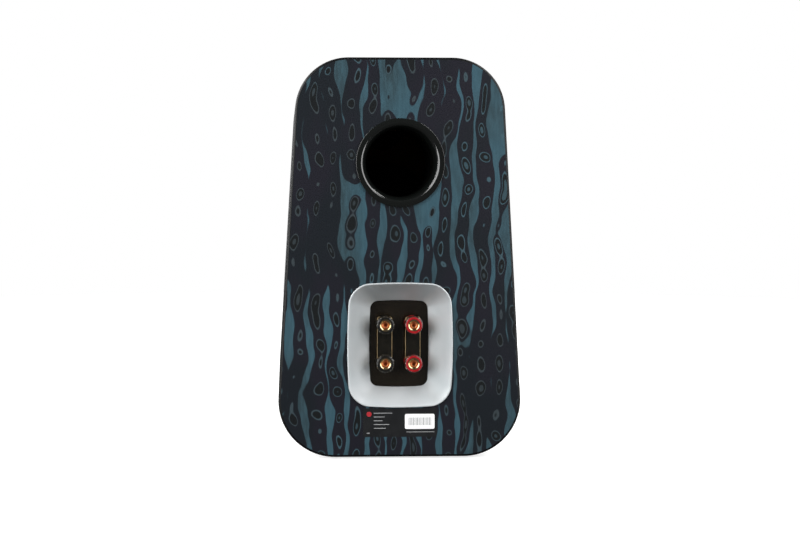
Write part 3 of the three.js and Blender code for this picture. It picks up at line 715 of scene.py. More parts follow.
black_lacquer = Finish("black_lacquer", base_color=linear(9, 10, 11), roughness=0.36)
black_lacquer.set("Specular IOR Level", 0.2)
raw_board = Finish("raw_board", roughness=0.9)
fibre = raw_board.noise(raw_board.scaled(raw_board.place(), (700, 250, 700)), detail=4.0)
raw_board.set("Base Color", raw_board.blend(fibre.rises(0.3, 0.7), linear(112, 86, 60), linear(140, 110, 78)))
raw_board.bump(fibre, 0.6, 0.0001)
add_panels()
add_bead("rear_edge_bead", rear_high.y, -1)
add_bead("front_edge_bead", baffle_low.y, 1)

# %% [markdown]
# ## The bass port
# The port is a gloss-black moulding: a flat lip on the panel, a mouth that curves in as a
# quarter ellipse, and a straight tube behind it. Turning one closed section makes each of
# them. The crest of the lip is small and round, because that is what draws the thin bright arc.

# %% Port flare and tube
PORT_LIP, PORT_THROAT = 0.044, 0.0335


def add_port():
    crest, seat = port_high.y, rear_high.y + 0.0001
    reach = np.linspace(math.pi / 2, 0, 28)
    mouth_depth, mouth_start = 0.0145, PORT_LIP - 0.0042
    mouth = [(mouth_start - (mouth_start - PORT_THROAT) * math.cos(t), crest - mouth_depth * (1 - math.sin(t)))
             for t in reach]
    lip = filleted([(PORT_NECK - 0.0003, seat), (PORT_LIP, seat), (PORT_LIP, crest), (mouth_start, crest)],
                   [0, 0.0001, 0.0003, 0], 4)
    section = np.vstack([lip[:-1], mouth, [(PORT_THROAT, port_low.y), (PORT_NECK - 0.0003, port_low.y)]])
    points, quads = turned(section, (port_centre[0], 0, port_centre[1]), 160)
    mesh = build_mesh("port_flare_moulding", points, quads, crease=40)
    make_piece("port_flare_moulding", mesh, port_gloss, stands_for="port_flare", slot="port_gloss")

    tube_low, tube_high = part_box("port_tube")
    bore = PORT_THROAT + 0.0033
    wall = 0.003
    section = filleted([(bore, tube_high.y), (bore + wall, tube_high.y), (bore + wall, tube_low.y + 0.009),
                        (bore + wall + 0.005, tube_low.y), (bore + 0.005, tube_low.y), (bore, tube_low.y + 0.007)],
                       [0, 0, 0.006, 0.0012, 0.0012, 0.006], 5)
    points, quads = turned(section, (port_centre[0], 0, port_centre[1]), 120)
    mesh = build_mesh("port_tube_moulding", points, quads, crease=40)
    make_piece("port_tube_moulding", mesh, tube_black, stands_for="port_tube", slot="port_gloss")


port_gloss = Finish("port_gloss_black", base_color=linear(12, 14, 13), roughness=0.16, coat_weight=0.6,
                    coat_roughness=0.04)
tube_black = Finish("port_tube_matt", base_color=linear(7, 8, 8), roughness=0.75)
tube_black.set("Specular IOR Level", 0.15)
add_port()

# %% [markdown]
# ## The terminal dish
# The dish is one moulding in satin silver. It starts as a thin bright rim on the panel and falls
# on four bowed slopes to a small dark plate, where the posts are. A surface between two
# outlines is a loft: rows of points that change from the rim's outline to the window's. Both
# outlines are barrels, so the slopes bow, and the soft creases between them come by themselves.

# %% Satin silver
def speckled(name, low, high, size, roughness, grit=0.0, depth=0.0, detail=3.0, **fixed):
    """A finish that wanders between two colours and two roughnesses over patches of that size
    in metres, with a fine bump of its own: grit is its grain size and depth its height."""
    finish = Finish(name, **fixed)
    cloud = finish.noise(finish.scaled(finish.place(), (1 / size,) * 3), detail=detail)
    finish.set("Base Color", finish.blend(cloud.rises(0.3, 0.7), linear(*low), linear(*high)))
    finish.set("Roughness", cloud * (roughness[1] - roughness[0]) + roughness[0])
    if grit:
        fine = finish.noise(finish.scaled(finish.place(), (1 / grit,) * 3), detail=2.0)
        finish.bump(fine, 1.0, depth)
    return finish


satin_silver = speckled("satin_silver_paint", (196, 202, 204), (204, 208, 210), 0.03, (0.42, 0.50), 0.0004, 0.000006,
                        metallic=0.45, coat_weight=0.15, coat_roughness=0.2)
plate_black = speckled("terminal_plate_gloss", (23, 19, 14), (30, 25, 18), 0.02, (0.16, 0.24), 0.0008, 0.000004,
                       coat_weight=0.5, coat_roughness=0.05)

# %% Bezel and plate
plate_low, plate_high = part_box("terminal_plate")
WINDOW_WIDTH, WINDOW_HEIGHT, WINDOW_CORNER, WINDOW_BULGE = 0.0604, 0.0885, 0.007, 0.0014
WINDOW_ASIDE, WINDOW_DROP = 0.0008, 0.0010
DISH_DEPTH, DISH_WALL = 0.0255, 0.0022


def rim_outline(inset):
    return barrel(bezel_width - 2 * inset, bezel_height - 2 * inset, BEZEL_CORNER - inset, BEZEL_BULGE, *bezel_centre)


def window_outline(inset=0.0):
    """The plate's window, a little off the dish's middle. Its hole widens with inset, as a
    circle's does."""
    return barrel(WINDOW_WIDTH + 2 * inset, WINDOW_HEIGHT + 2 * inset, WINDOW_CORNER + inset, WINDOW_BULGE,
                  bezel_centre[0] - WINDOW_ASIDE, bezel_centre[1] - WINDOW_DROP)


def add_bezel():
    """Rows: up the rim's outside, over its 0.5 mm round crest, down the slope as a mix of the two
    outlines (share s of the window's), round the window's edge, and back along the hidden side.
    The slope sags by sin(pi s) so that it catches light as a hollow."""
    crest, seat, floor = bezel_high.y, rear_high.y + 0.0003, bezel_high.y - DISH_DEPTH
    edge, sag = 0.0005, 0.0011
    turn = np.linspace(0, math.pi / 2, 5)
    rows = [flat_loop(rim_outline(0.0), seat)]
    rows += [flat_loop(rim_outline(edge * (1 - math.cos(t))), crest - edge * (1 - math.sin(t))) for t in turn]
    lip = flat_loop(rim_outline(0.0013), crest - 0.0002)
    sill = flat_loop(window_outline(0.0004), floor + 0.0002)
    rows.append(lip)
    for s in np.linspace(0.03, 0.985, 22):
        row = lip * (1 - s) + sill * s
        row[:, 1] -= sag * math.sin(math.pi * s)
        rows.append(row)
    rows += [sill, flat_loop(window_outline(), floor - 0.0003), flat_loop(window_outline(), floor - DISH_WALL),
             flat_loop(window_outline(0.011), floor - DISH_WALL)]
    rows += [flat_loop(rim_outline(0.0062), rear_low.y + 0.0075), flat_loop(rim_outline(BEZEL_RIM), seat)]
    points, quads = lofted(rows)
    mesh = build_mesh("terminal_bezel_dish", points, quads, crease=38)
    make_piece("terminal_bezel_dish", mesh, satin_silver, stands_for="terminal_bezel", slot="satin_silver")


def add_terminal_plate():
    bores = [circle(POST_BORE, x, z, 32) for x, z in post_places.values()]
    mesh = panel_mesh("terminal_plate_moulding", lambda inset: window_outline(0.007 - inset), bores,
                      plate_low.y, plate_high.y, edge=0.0004)
    make_piece("terminal_plate_moulding", mesh, plate_black, stands_for="terminal_plate", slot="terminal_plate")


POST_BORE = 0.0039  # radius of every hole that a stud of 7 mm passes through
post_places = {}
for post in ("high_negative", "high_positive", "low_negative", "low_positive"):
    post_places[post] = axis_of(*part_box("stud_" + post))
add_bezel()
add_terminal_plate()
print("posts in mm:", {post: (round(1000 * x, 2), round(1000 * z, 2)) for post, (x, z) in post_places.items()})

# %% [markdown]
# ## Binding posts
# A post is a small stack on a threaded stud: a tinted collar on the plate, a hexagon, a link
# strip, a washer and a cap that screws down on it. The cap is a gold core with a conical mouth
# for a plug, inside a ring of colour and a clear ribbed sleeve. Thread and hexagon are no true
# turned shapes, but both are still a radius for every angle and height, so one grid function
# that takes such a radius makes them.

# %% Polished metals and tinted plastic
def turned_metal(name, low, high, roughness=(0.14, 0.24)):
    """Bright plate with fine turning marks round the piece's own Y axis."""
    finish = Finish(name, metallic=1.0)
    x, y, z = finish.split(finish.place())
    marks = finish.noise(finish.join(x * 90, y * 9000, z * 90), detail=2.0)
    cloud = finish.noise(finish.scaled(finish.place(), (260,) * 3), detail=3.0)
    finish.set("Base Color", finish.blend(cloud.rises(0.3, 0.7), linear(*low), linear(*high)))
    finish.set("Roughness", marks * (roughness[1] - roughness[0]) + roughness[0])
    finish.bump(marks, 0.5, 0.000004)
    return finish


def tinted_clear(name, colour, transmission):
    """Clear plastic. Its tint wanders a little, as moulded plastic does near its gate."""
    finish = Finish(name, transmission_weight=transmission, roughness=0.07, coat_weight=0.6, coat_roughness=0.03)
    finish.set("IOR", 1.49)
    cloud = finish.noise(finish.scaled(finish.place(), (180,) * 3), detail=2.0)
    finish.set("Base Color", finish.blend(cloud, linear(*colour), linear(*[0.88 * part for part in colour])))
    return finish


gold = turned_metal("gold_plate", (212, 182, 130), (230, 204, 158))
copper_gold = turned_metal("copper_gold_plate", (206, 122, 76), (226, 146, 98), (0.34, 0.46))
pole_colours = {
    "negative": dict(ring=speckled("black_ring", (14, 14, 13), (20, 19, 17), 0.004, (0.12, 0.2), coat_weight=0.8),
                     clear=tinted_clear("smoke_clear", (118, 112, 100), 0.85),
                     collar=tinted_clear("black_clear", (26, 24, 20), 0.25)),
    "positive": dict(ring=speckled("red_ring", (134, 14, 20), (158, 26, 32), 0.004, (0.12, 0.2), coat_weight=0.8),
                     clear=tinted_clear("rose_clear", (190, 120, 112), 0.85),
                     collar=tinted_clear("red_clear", (206, 40, 34), 0.55)),
}

# %% Round pieces about a post
THREAD_PITCH, THREAD_DEPTH = 0.001, 0.0005


def shaped_turn(radius_of, heights, centre, sides):
    """Points and quads of a surface about the Y axis whose radius depends on row and angle.
    radius_of(row, angle) works on whole arrays."""
    angle = np.linspace(0, 2 * math.pi, sides, endpoint=False)[None, :]
    row = np.arange(len(heights))[:, None]
    radius = radius_of(row, angle)
    y = np.broadcast_to(np.asarray(heights, float)[:, None], radius.shape)
    points = np.stack([centre[0] + radius * np.cos(angle), y, centre[1] + radius * np.sin(angle)], -1)
    return points.reshape(-1, 3), grid_quads(len(heights), sides, True, True)


def ring_mesh(name, section, centre, sides=64, crease=38):
    points, quads = turned(section, (centre[0], 0, centre[1]), sides)
    return build_mesh(name, points, quads, crease=crease)


def threaded_stud(name, centre, y_tail, y_tip):
    """A stud with a helical thread: radius = full - depth * triangle(y / pitch - angle / 2 pi),
    which fades out over the last pitch, and a blind socket in its tip."""
    full, socket, deep, chamfer, sides = 0.0035, 0.002, 0.012, 0.0006, 28
    y = np.arange(y_tail, y_tip - chamfer, THREAD_PITCH / 6)
    radius_at, height = [0.0, full - THREAD_DEPTH - chamfer], [y_tail - 0.0002, y_tail - 0.0002]
    start = len(height)
    height += list(y)
    crown = (full + socket) / 2, (full - socket) / 2 - 0.0001  # the tip is rounded between rim and socket
    round_tip = np.linspace(0, math.pi, 9)
    height += [*(y_tip - crown[1] * (1 - np.sin(round_tip))), y_tip - deep, y_tip - deep - 0.0006]
    radius_at += [full] * len(y) + [*(crown[0] + crown[1] * np.cos(round_tip)), socket, 0.0]
    radius_at = np.array(radius_at)
    fade = np.zeros(len(height))
    fade[start:start + len(y)] = np.clip(np.minimum(y - y[0], y[-1] - y) / THREAD_PITCH, 0, 1)

    def radius_of(row, angle):
        phase = np.asarray(height)[row] / THREAD_PITCH - angle / (2 * math.pi)
        triangle = 2 * np.abs(phase - np.floor(phase) - 0.5)
        return radius_at[row] - THREAD_DEPTH * (1 - triangle) * fade[row]

    points, quads = shaped_turn(radius_of, height, centre, sides)
    return build_mesh(name, points, quads[:-sides], crease=50)  # the last row isn't joined to the first


def hexagon_nut(name, centre, y0, y1, across, bore):
    """radius = min(across / 2 / cos(angle from the nearest flat), the chamfer's circle)."""
    corner = across / 2 / math.cos(math.pi / 6)
    rows = [(bore, y0), (across / 2 * 0.98, y0), (corner, y0 + 0.0004), (corner, y1 - 0.0004), (across / 2 * 0.98, y1),
            (bore, y1)]
    limit = np.array([r for r, _ in rows])

    def radius_of(row, angle):
        from_flat = np.mod(angle, math.pi / 3) - math.pi / 6
        return np.minimum(across / 2 / np.cos(from_flat), limit[row])

    points, quads = shaped_turn(radius_of, [y for _, y in rows], centre, 72)
    return build_mesh(name, points, quads, crease=24)


def ribbed(mesh, centre, smallest, ribs, depth):
    """Cuts shallow flutes: points outside the smallest radius move in by depth (1 - cos) / 2."""
    points = vertex_points(mesh)
    across, up = points[:, 0] - centre[0], points[:, 2] - centre[1]
    radius, angle = np.hypot(across, up), np.arctan2(up, across)
    cut = np.where(radius > smallest, depth * (1 - np.cos(ribs * angle)) / 2, 0)
    scale = 1 - cut / np.maximum(radius, 1e-9)
    points[:, 0], points[:, 2] = centre[0] + across * scale, centre[1] + up * scale
    mesh.vertices.foreach_set("co", points.ravel())
    return mesh


def add_post(post):
    centre, tint = post_places[post], pole_colours[post.split("_")[1]]
    colour_slot = "clear_red" if post.endswith("positive") else "clear_black"
    washer_body, cap_body = "post_washer_" + post, "post_cap_" + post

    low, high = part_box("stud_" + post)
    make_piece("threaded_stud_" + post, threaded_stud("stud", centre, low.y + 0.0002, high.y), copper_gold,
               stands_for="stud_" + post, slot="gold")
    low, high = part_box("collar_" + post)
    section = ring_section(POST_BORE, 0.0085, low.y, high.y, [0.0002, 0.0003, 0.0012, 0.0004])
    make_piece("tinted_collar_" + post, ring_mesh("collar", section, centre), tint["collar"],
               stands_for="collar_" + post, slot=colour_slot)
    nut = hexagon_nut("nut", centre, high.y + 0.0003, high.y + 0.0033, across=0.013, bore=0.0036)
    make_piece("hexagon_nut_" + post, nut, gold)
    low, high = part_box("washer_" + post)
    section = ring_section(POST_BORE, 0.007, low.y, high.y, 0.0003, 4)
    make_piece("turned_washer_" + post, ring_mesh("washer", section, centre), gold, washer_body,
               "washer_" + post, "gold")

    low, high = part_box("cap_core_" + post)
    tilt = np.linspace(0.15, 1.0, 9) * math.radians(62)  # the mouth is hollow: an arc from rim to bore
    reach = 0.0017 / math.sin(tilt[-1])
    mouth = [(0.0057 - reach * math.sin(t), high.y - 0.0002 - reach * (1 - math.cos(t))) for t in tilt]
    section = [(POST_BORE, low.y), (0.0068, low.y), (0.0068, high.y - 0.0012), (0.0059, high.y - 0.0012),
               (0.0059, high.y - 0.0002), *mouth]
    make_piece("cap_core_turned_" + post, ring_mesh("core", section, centre, 72), gold, cap_body,
               "cap_core_" + post, "gold")
    section = filleted([(0.0069, low.y + 0.0004), (0.0081, low.y + 0.0004), (0.0081, high.y),
                        (0.0060, high.y - 0.0002), (0.0060, high.y - 0.0010), (0.0069, high.y - 0.0010)],
                       [0.0002, 0.0003, 0.0005, 0.0002, 0, 0], 4)
    make_piece("cap_colour_ring_" + post, ring_mesh("ring", section, centre, 72), tint["ring"], cap_body)
    section = ring_section(0.0082, 0.009, low.y, high.y - 0.0004, [0.0002, 0.0003, 0.0004, 0.0002])
    sleeve = ribbed(ring_mesh("sleeve", section, centre, 144), centre, smallest=0.0085, ribs=18, depth=0.00025)
    make_piece("cap_sleeve_ribbed_" + post, sleeve, tint["clear"], cap_body, "cap_sleeve_" + post, colour_slot)


for post in post_places:
    add_post(post)

# %% [markdown]
# ## Links and label
# Each pair of posts is bridged by a plated strip with a dark face, bright only along its
# rounded edges. Under the dish there is a dark label. Real labels carry words and marks, which
# aren't copied: this one has plain rules where text would be and a blank sticker with bars.

# %% Jumper links
link_plate = turned_metal("link_plate", (124, 106, 78), (146, 126, 96), (0.30, 0.42))
link_black = speckled("link_dark_face", (24, 23, 20), (32, 30, 25), 0.006, (0.18, 0.26), metallic=0.3)


def rounded_box(x0, x1, z0, z1, radius, steps=8):
    """A function from an inset to the loop of a round-cornered rectangle."""
    return lambda inset=0.0: filleted([(x1 - inset, z0 + inset), (x1 - inset, z1 - inset), (x0 + inset, z1 - inset),
                                       (x0 + inset, z0 + inset)], max(radius - inset, 0.0001), steps)


def add_link(pole):
    """The strip, and a dark facing a hair proud of it and 0.7 mm inside its edge."""
    node = "jumper_link_" + pole
    low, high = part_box(node)
    places = [place for post, place in post_places.items() if post.endswith(pole)]
    strip = panel_mesh(node, rounded_box(low.x, high.x, low.z, high.z, 0.003),
                       [circle(POST_BORE, x, z, 32) for x, z in places], low.y, high.y, edge=0.0005, crease=60)
    make_piece(node + "_plated", strip, link_plate, stands_for=node, slot="link_metal")
    inner = 0.0007
    face = panel_mesh(node, rounded_box(low.x + inner, high.x - inner, low.z + inner, high.z - inner, 0.002),
                      [circle(0.0076, x, z, 48) for x, z in places], high.y - 0.0001, high.y + 0.0001)
    make_piece(node + "_facing", face, link_black)


for pole in pole_colours:
    add_link(pole)

# %% Label and sticker
LABEL_WIDTH, LABEL_TOP_GAP, LABEL_HEIGHT = 0.074, 0.0009, 0.0288
label_black = speckled("label_film", (17, 18, 20), (22, 23, 25), 0.01, (0.34, 0.42))
sticker_white = speckled("sticker_paper", (232, 233, 233), (238, 238, 238), 0.01, (0.5, 0.6))
ink_grey = speckled("label_ink", (142, 144, 146), (158, 159, 160), 0.002, (0.5, 0.6))
ink_dark = speckled("sticker_ink", (52, 52, 54), (66, 66, 68), 0.002, (0.5, 0.6))
ink_red = speckled("label_ink_red", (150, 24, 34), (166, 30, 40), 0.002, (0.5, 0.6))


def bars(name, boxes, y0, y1):
    """One mesh of many flat round-cornered bars, each given as (x0, x1, z0, z1)."""
    points, faces = [], []
    for x0, x1, z0, z1 in boxes:
        loop = rounded_box(x0, x1, z0, z1, 0.45 * min(x1 - x0, z1 - z0), 3)()
        n, start = len(loop), len(points) * len(loop) * 2
        points.append(np.concatenate([flat_loop(loop, y0), flat_loop(loop, y1)]))
        faces += [list(range(start, start + n)), list(range(start + 2 * n - 1, start + n - 1, -1))]
        faces += (grid_quads(2, n, False, True)[:, ::-1] + start).tolist()
    return build_mesh(name, np.concatenate(points), faces, crease=20)


def add_label():
    face = rear_high.y
    left, top = bezel_centre[0] + LABEL_WIDTH / 2, bezel_low.z - LABEL_TOP_GAP
    right, bottom = left - LABEL_WIDTH, top - LABEL_HEIGHT
    film = panel_mesh("label", rounded_box(right, left, bottom, top, 0.0012), [], face + 0.00003, face + 0.00022)
    make_piece("rear_label_film", film, label_black)
    # Plain rules of the lengths that lines of small print have, and one round mark.
    ink = face + 0.0002, face + 0.00028
    lengths = (0.0185, 0.0110, 0.0088, 0.0155, 0.0122)
    rules = [(left - 0.0108 - length, left - 0.0108, top - 0.0052 - 0.0038 * k, top - 0.0046 - 0.0038 * k)
             for k, length in enumerate(lengths)]
    rules += [(right + 0.0022, right + 0.0305, bottom + 0.0046, bottom + 0.0051),
              (left - 0.0068, left - 0.0036, bottom + 0.0034, bottom + 0.0042)]
    make_piece("rear_label_rules", bars("rules", rules, *ink), ink_grey)
    dots = [(left - 0.0086, left - 0.0036, top - 0.0084, top - 0.0034)]
    make_piece("rear_label_dot", bars("dot", dots, *ink), ink_red)
    s_left, s_right, s_top, s_bottom = right + 0.0320, right + 0.0022, top - 0.0058, top - 0.0210
    sticker = panel_mesh("sticker", rounded_box(s_right, s_left, s_bottom, s_top, 0.0016), [],
                         face + 0.0002, face + 0.0004)
    make_piece("rear_sticker_paper", sticker, sticker_white)
    count = 19
    widths = 0.00022 + 0.0003 * (0.5 + 0.5 * np.sin(np.arange(count) * 2.4))
    starts = s_right + 0.0035 + np.linspace(0, 0.0222, count)
    stripes = [(x, x + w, s_bottom + 0.0038, s_top - 0.0036) for x, w in zip(starts, widths)]
    make_piece("rear_sticker_bars", bars("stripes", stripes, face + 0.0004, face + 0.00045), ink_dark)


add_label()

# %% [markdown]
# ## The drivers
# The three drivers face forwards. Each cone driver is a set of turned pieces: a cast frame with a
# wide flange, a dished cone and its dust cap, and a half-roll surround that carries the cone. Their
# sections are short formulas, so the two sizes share the functions. The magnets and the
# baskets sit inside the cabinet, and are finished as well, since a panel may be taken off.

# %% Finishes of the drivers
cast_black = speckled("cast_frame_powder", (25, 26, 28), (31, 32, 34), 0.012, (0.42, 0.52), 0.0007, 0.00003,
                      metallic=0.25)
roll_rubber = speckled("surround_rubber", (15, 15, 16), (20, 20, 21), 0.01, (0.46, 0.56), 0.0005, 0.000008,
                       sheen_weight=0.15)
zinc_steel = speckled("zinc_plated_steel", (168, 170, 172), (188, 188, 186), 0.008, (0.26, 0.38), 0.0006, 0.00001,
                      metallic=1.0)
ferrite_grey = speckled("sintered_ferrite", (36, 36, 38), (48, 47, 47), 0.01, (0.62, 0.8), 0.0012, 0.00008)
black_steel = speckled("blackened_screw", (16, 16, 17), (24, 24, 25), 0.003, (0.28, 0.4), 0.0004, 0.00001,
                       metallic=0.8)


def woven(name, low, high, pitch, depth, roughness, centre, **fixed):
    """Cloth with threads along X and Z: height = max(|sin x|, |sin z|) of the thread's phase."""
    finish = Finish(name, roughness=roughness, **fixed)
    x, _, z = finish.split(finish.place())
    turn = math.pi / pitch
    warp = abs(finish.node("Math", {"operation": "SINE"}, {0: (x - centre[0]) * turn}))
    weft = abs(finish.node("Math", {"operation": "SINE"}, {0: (z - centre[1]) * turn}))
    thread = finish.node("Math", {"operation": "MAXIMUM"}, {0: warp, 1: weft})
    cloud = finish.noise(finish.scaled(finish.place(), (160,) * 3), detail=3.0)
    # Darker in the holes between the threads and lighter on them: painted shade, mixed with a random tone from the
    # cloud.
    finish.set("Base Color", finish.blend(thread * 0.7 + cloud * 0.3, linear(*low), linear(*high)))
    finish.bump(thread, 0.6, depth)
    return finish


def pulp_cone(name, centre):
    """Coated pulp: fine matted fibres, with faint rings round the cone."""
    finish = Finish(name, coat_weight=0.25, coat_roughness=0.3)
    x, _, z = finish.split(finish.place())
    radius = finish.node("Math", {"operation": "SQRT"},
                         {0: (x - centre[0]) * (x - centre[0]) + (z - centre[1]) * (z - centre[1])})
    fibre = finish.noise(finish.scaled(finish.place(), (1500, 1500, 1500)), detail=4.0, rough=0.7)
    rings = finish.node("Math", {"operation": "SINE"}, {0: radius * 2600.0})
    shade = fibre.rises(0.3, 0.75)
    finish.set("Base Color", finish.blend(shade, linear(20, 23, 27), linear(38, 43, 49)))
    finish.set("Roughness", fibre * 0.2 + 0.38)
    finish.bump(fibre + rings * 0.12, 0.7, 0.00012)
    return finish


# %% Frames, cones and surrounds
FLANGE = 0.004  # thickness of the drivers' flanges


class Driver:
    """The sizes of one cone driver, in metres, and its places along Y."""

    def __init__(self, node, face_width, roll, cone_depth, coil_radius, cap_radius, cap_rise, back_radius,
                 basket_depth, neck_radius, arms, screws):
        low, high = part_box(node + "_basket")
        self.node, self.centre = node, axis_of(low, high)
        self.face, self.rim = low.y, (high.x - low.x) / 2
        self.roll, self.cone_depth, self.coil_radius = roll, cone_depth, coil_radius
        self.cap_radius, self.cap_rise = cap_radius, cap_rise
        self.back_radius, self.neck_radius, self.arms, self.screws = back_radius, neck_radius, arms, screws
        self.land_radius = self.rim - face_width
        self.landing = self.face + roll / 2 + 0.001
        self.neck = self.landing + basket_depth
        low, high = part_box(node + "_cone")
        self.cone_radius = (high.x - low.x) / 2
        self.body = node + "_moving"

    def cone_y(self, radius):
        """The cone's front: straight from lip to neck, with a bow of 0.16 s (1 - s) of its depth."""
        inner = self.coil_radius + 0.0006
        s = (np.asarray(radius) - inner) / (self.cone_radius - inner)
        lip = self.landing - 0.0003
        return lip + self.cone_depth * (1 - s - 0.16 * s * (1 - s))


def ring_piece(name, section, centre, finish, sides=128, crease=38, **riding):
    return make_piece(name, ring_mesh(name, section, centre, sides, crease), finish, **riding)


def thin_sheet(front, thickness):
    """A closed section from an open one: the same points again, moved back along Y."""
    front = np.asarray(front, float)
    return np.vstack([front, front[::-1] + [0, thickness]])


def add_frame(driver):
    """The flange with its sunk step, the wall down to the landing, the arms and the seat."""
    face, rim, landing, wall = driver.face, driver.rim, driver.landing, 0.003
    inside_radius = driver.cone_radius + driver.roll * 0.6
    through = rim - 0.004
    section = filleted([(rim, face), (rim, face + FLANGE), (through, face + FLANGE), (through, landing + wall),
                        (inside_radius + wall, landing + wall), (inside_radius + wall, landing + 0.006),
                        (inside_radius, landing + 0.006), (inside_radius, landing), (driver.land_radius, landing),
                        (driver.land_radius + 0.002, face)],
                       [0.0012, 0.0004, 0.0004, 0.0006, 0.0006, 0.0006, 0.0004, 0.0004, 0.0005, 0.0010], 5)
    ring_piece(driver.node + "_frame_cast", section, driver.centre, cast_black, 160,
               stands_for=driver.node + "_basket", slot="cast_frame")
    seat = filleted([(driver.neck_radius, driver.neck - wall), (driver.back_radius, driver.neck - wall),
                     (driver.back_radius + 0.0015, driver.neck - wall / 2), (driver.back_radius, driver.neck),
                     (driver.neck_radius, driver.neck)], 0.0006, 4)
    ring_piece(driver.node + "_basket_seat", seat, driver.centre, cast_black, 96)

    # An arm is a path in the plane of radius and Y, thick 2.6 mm and wide 13 mm with round edges.
    start = np.array([inside_radius + wall / 2, landing + 0.005])
    end = np.array([driver.back_radius - 0.001, driver.neck - wall / 2])
    knee = np.array([inside_radius - 0.001, landing + 0.011])
    t = np.linspace(0, 1, 17)[:, None]
    path = (1 - t) ** 2 * start + 2 * t * (1 - t) * knee + t ** 2 * end
    along = np.gradient(path, axis=0)
    along /= np.linalg.norm(along, axis=1, keepdims=True)
    side = np.stack([along[:, 1], -along[:, 0]], -1)
    half_width, half_thick = 0.0065, 0.0013
    loop = filleted([(half_width, -half_thick), (half_width, half_thick), (-half_width, half_thick),
                     (-half_width, -half_thick)], 0.0009, 4)
    points, faces, count = [], [], 0
    for k in range(driver.arms):
        turn = 2 * math.pi * k / driver.arms
        radius = path[:, :1] + side[:, :1] * loop[:, 1]
        y = path[:, 1:] + side[:, 1:] * loop[:, 1]
        across = np.broadcast_to(loop[:, 0], radius.shape)
        x = radius * math.cos(turn) - across * math.sin(turn)
        z = radius * math.sin(turn) + across * math.cos(turn)
        points.append(np.stack([driver.centre[0] + x, y, driver.centre[1] + z], -1).reshape(-1, 3))
        n = len(loop)
        faces += (grid_quads(len(path), n, False, True) + count).tolist()
        faces += [list(range(count, count + n))[::-1], list(range(count + (len(path) - 1) * n, count + len(path) * n))]
        count += len(path) * n
    mesh = build_mesh("arms", np.concatenate(points), faces, crease=40)
    make_piece(driver.node + "_basket_arms", mesh, cast_black)


def add_cone(driver, cone_finish):
    inner = driver.coil_radius + 0.0006
    radii = np.linspace(inner, driver.cone_radius, 40)
    front = np.stack([radii, driver.cone_y(radii)], -1)
    ring_piece(driver.node + "_cone_pulp", thin_sheet(front, 0.0009), driver.centre, cone_finish, 160,
               body=driver.body, stands_for=driver.node + "_cone", slot="cone_paper")
    edge = float(driver.cone_y(driver.cap_radius)) - 0.0006
    s = np.linspace(0, 1, 26)
    dome = np.stack([driver.cap_radius * s, edge - driver.cap_rise * (1 - s ** 2) ** 0.9], -1)
    skirt = [[driver.cap_radius + 0.0006, edge + 0.0001]]
    ring_piece(driver.node + "_dust_cap_pressed", thin_sheet(np.vstack([dome, skirt]), 0.0005), driver.centre,
               cone_finish, 128, body=driver.body, stands_for=driver.node + "_dust_cap", slot="cone_paper")


def blend_by_radius(piece):
    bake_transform(piece)
    points = vertex_points(piece.data)


def soft_piece(name, section, driver, finish, node):
    piece = place_piece(name, ring_mesh(name, section, driver.centre, 160), finish)
    blend_by_radius(piece)
    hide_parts(node)


def add_surround(driver):
    """A half circle between two flat bonds: one on the cone's lip and one on the landing."""
    sheet = driver.landing - 0.0009
    roll = driver.roll / 2
    start = driver.cone_radius + 0.0005
    turn = np.linspace(0, math.pi, 33)
    arch = np.stack([start + roll * (1 - np.cos(turn)), sheet - (roll - 0.0009) * np.sin(turn)], -1)
    front = np.vstack([[[driver.cone_radius - 0.003, sheet - 0.0001], [start - 0.0003, sheet - 0.00005]], arch,
                       [[driver.land_radius - 0.0004, sheet - 0.0001]]])
    soft_piece(driver.node + "_surround_roll", thin_sheet(front, 0.0006), driver, roll_rubber,
               driver.node + "_surround")


def add_screws(driver_centre, face, radius, count, name, head=0.0036):
    """Flat-topped screws, each turned with a hexagonal socket: the head's radius is constant and
    its socket's radius is that of a hexagon, r / cos(angle from the flat)."""
    socket, top, deep, back, sides = 0.0013, face + 0.0001, face + 0.0012, face + 0.0020, 36
    rows = [(0.0, back), (head, back), (head, face + 0.0005), (head - 0.0004, top), (socket * 1.25, top),
            (socket, face + 0.0002), (socket, deep), (0.0, deep)]
    radius_at = np.array([r for r, _ in rows])
    points, faces = [], []
    for k in range(count):
        turn = 2 * math.pi * (k + 0.5) / count
        centre = (driver_centre[0] + radius * math.sin(turn), driver_centre[1] + radius * math.cos(turn))

        def radius_of(row, angle):
            flat = np.mod(angle, math.pi / 3) - math.pi / 6
            hexagon = socket * math.cos(math.pi / 6) / np.cos(flat)
            in_socket = (row == 5) | (row == 6)
            return np.where(in_socket, hexagon, radius_at[row] + 0 * angle)

        grid, quads = shaped_turn(radius_of, [y for _, y in rows], centre, sides)
        faces.append(quads[:-sides] + len(points) * len(grid))
        points.append(grid)
    mesh = build_mesh(name, np.concatenate(points), np.concatenate(faces), crease=35)
    make_piece(name, mesh, black_steel)


def add_coil(driver, former_finish):
    low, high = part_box(driver.node + "_voice_coil")
    outer = (high.x - low.x) / 2
    wires = np.arange(low.y + 0.010, high.y - 0.0002, 0.0004)
    ridge = [(outer - 0.00005 - 0.0001 * (k % 2), y) for k, y in enumerate(wires)]
    section = [(outer - 0.0006, low.y), (outer - 0.0003, low.y), (outer - 0.0003, wires[0] - 0.0001), *ridge,
               (outer - 0.0003, high.y), (outer - 0.0006, high.y)]
    ring_piece(driver.node + "_voice_coil_wound", section, driver.centre, former_finish, 72, 20, body=driver.body,
               stands_for=driver.node + "_voice_coil", slot="copper")


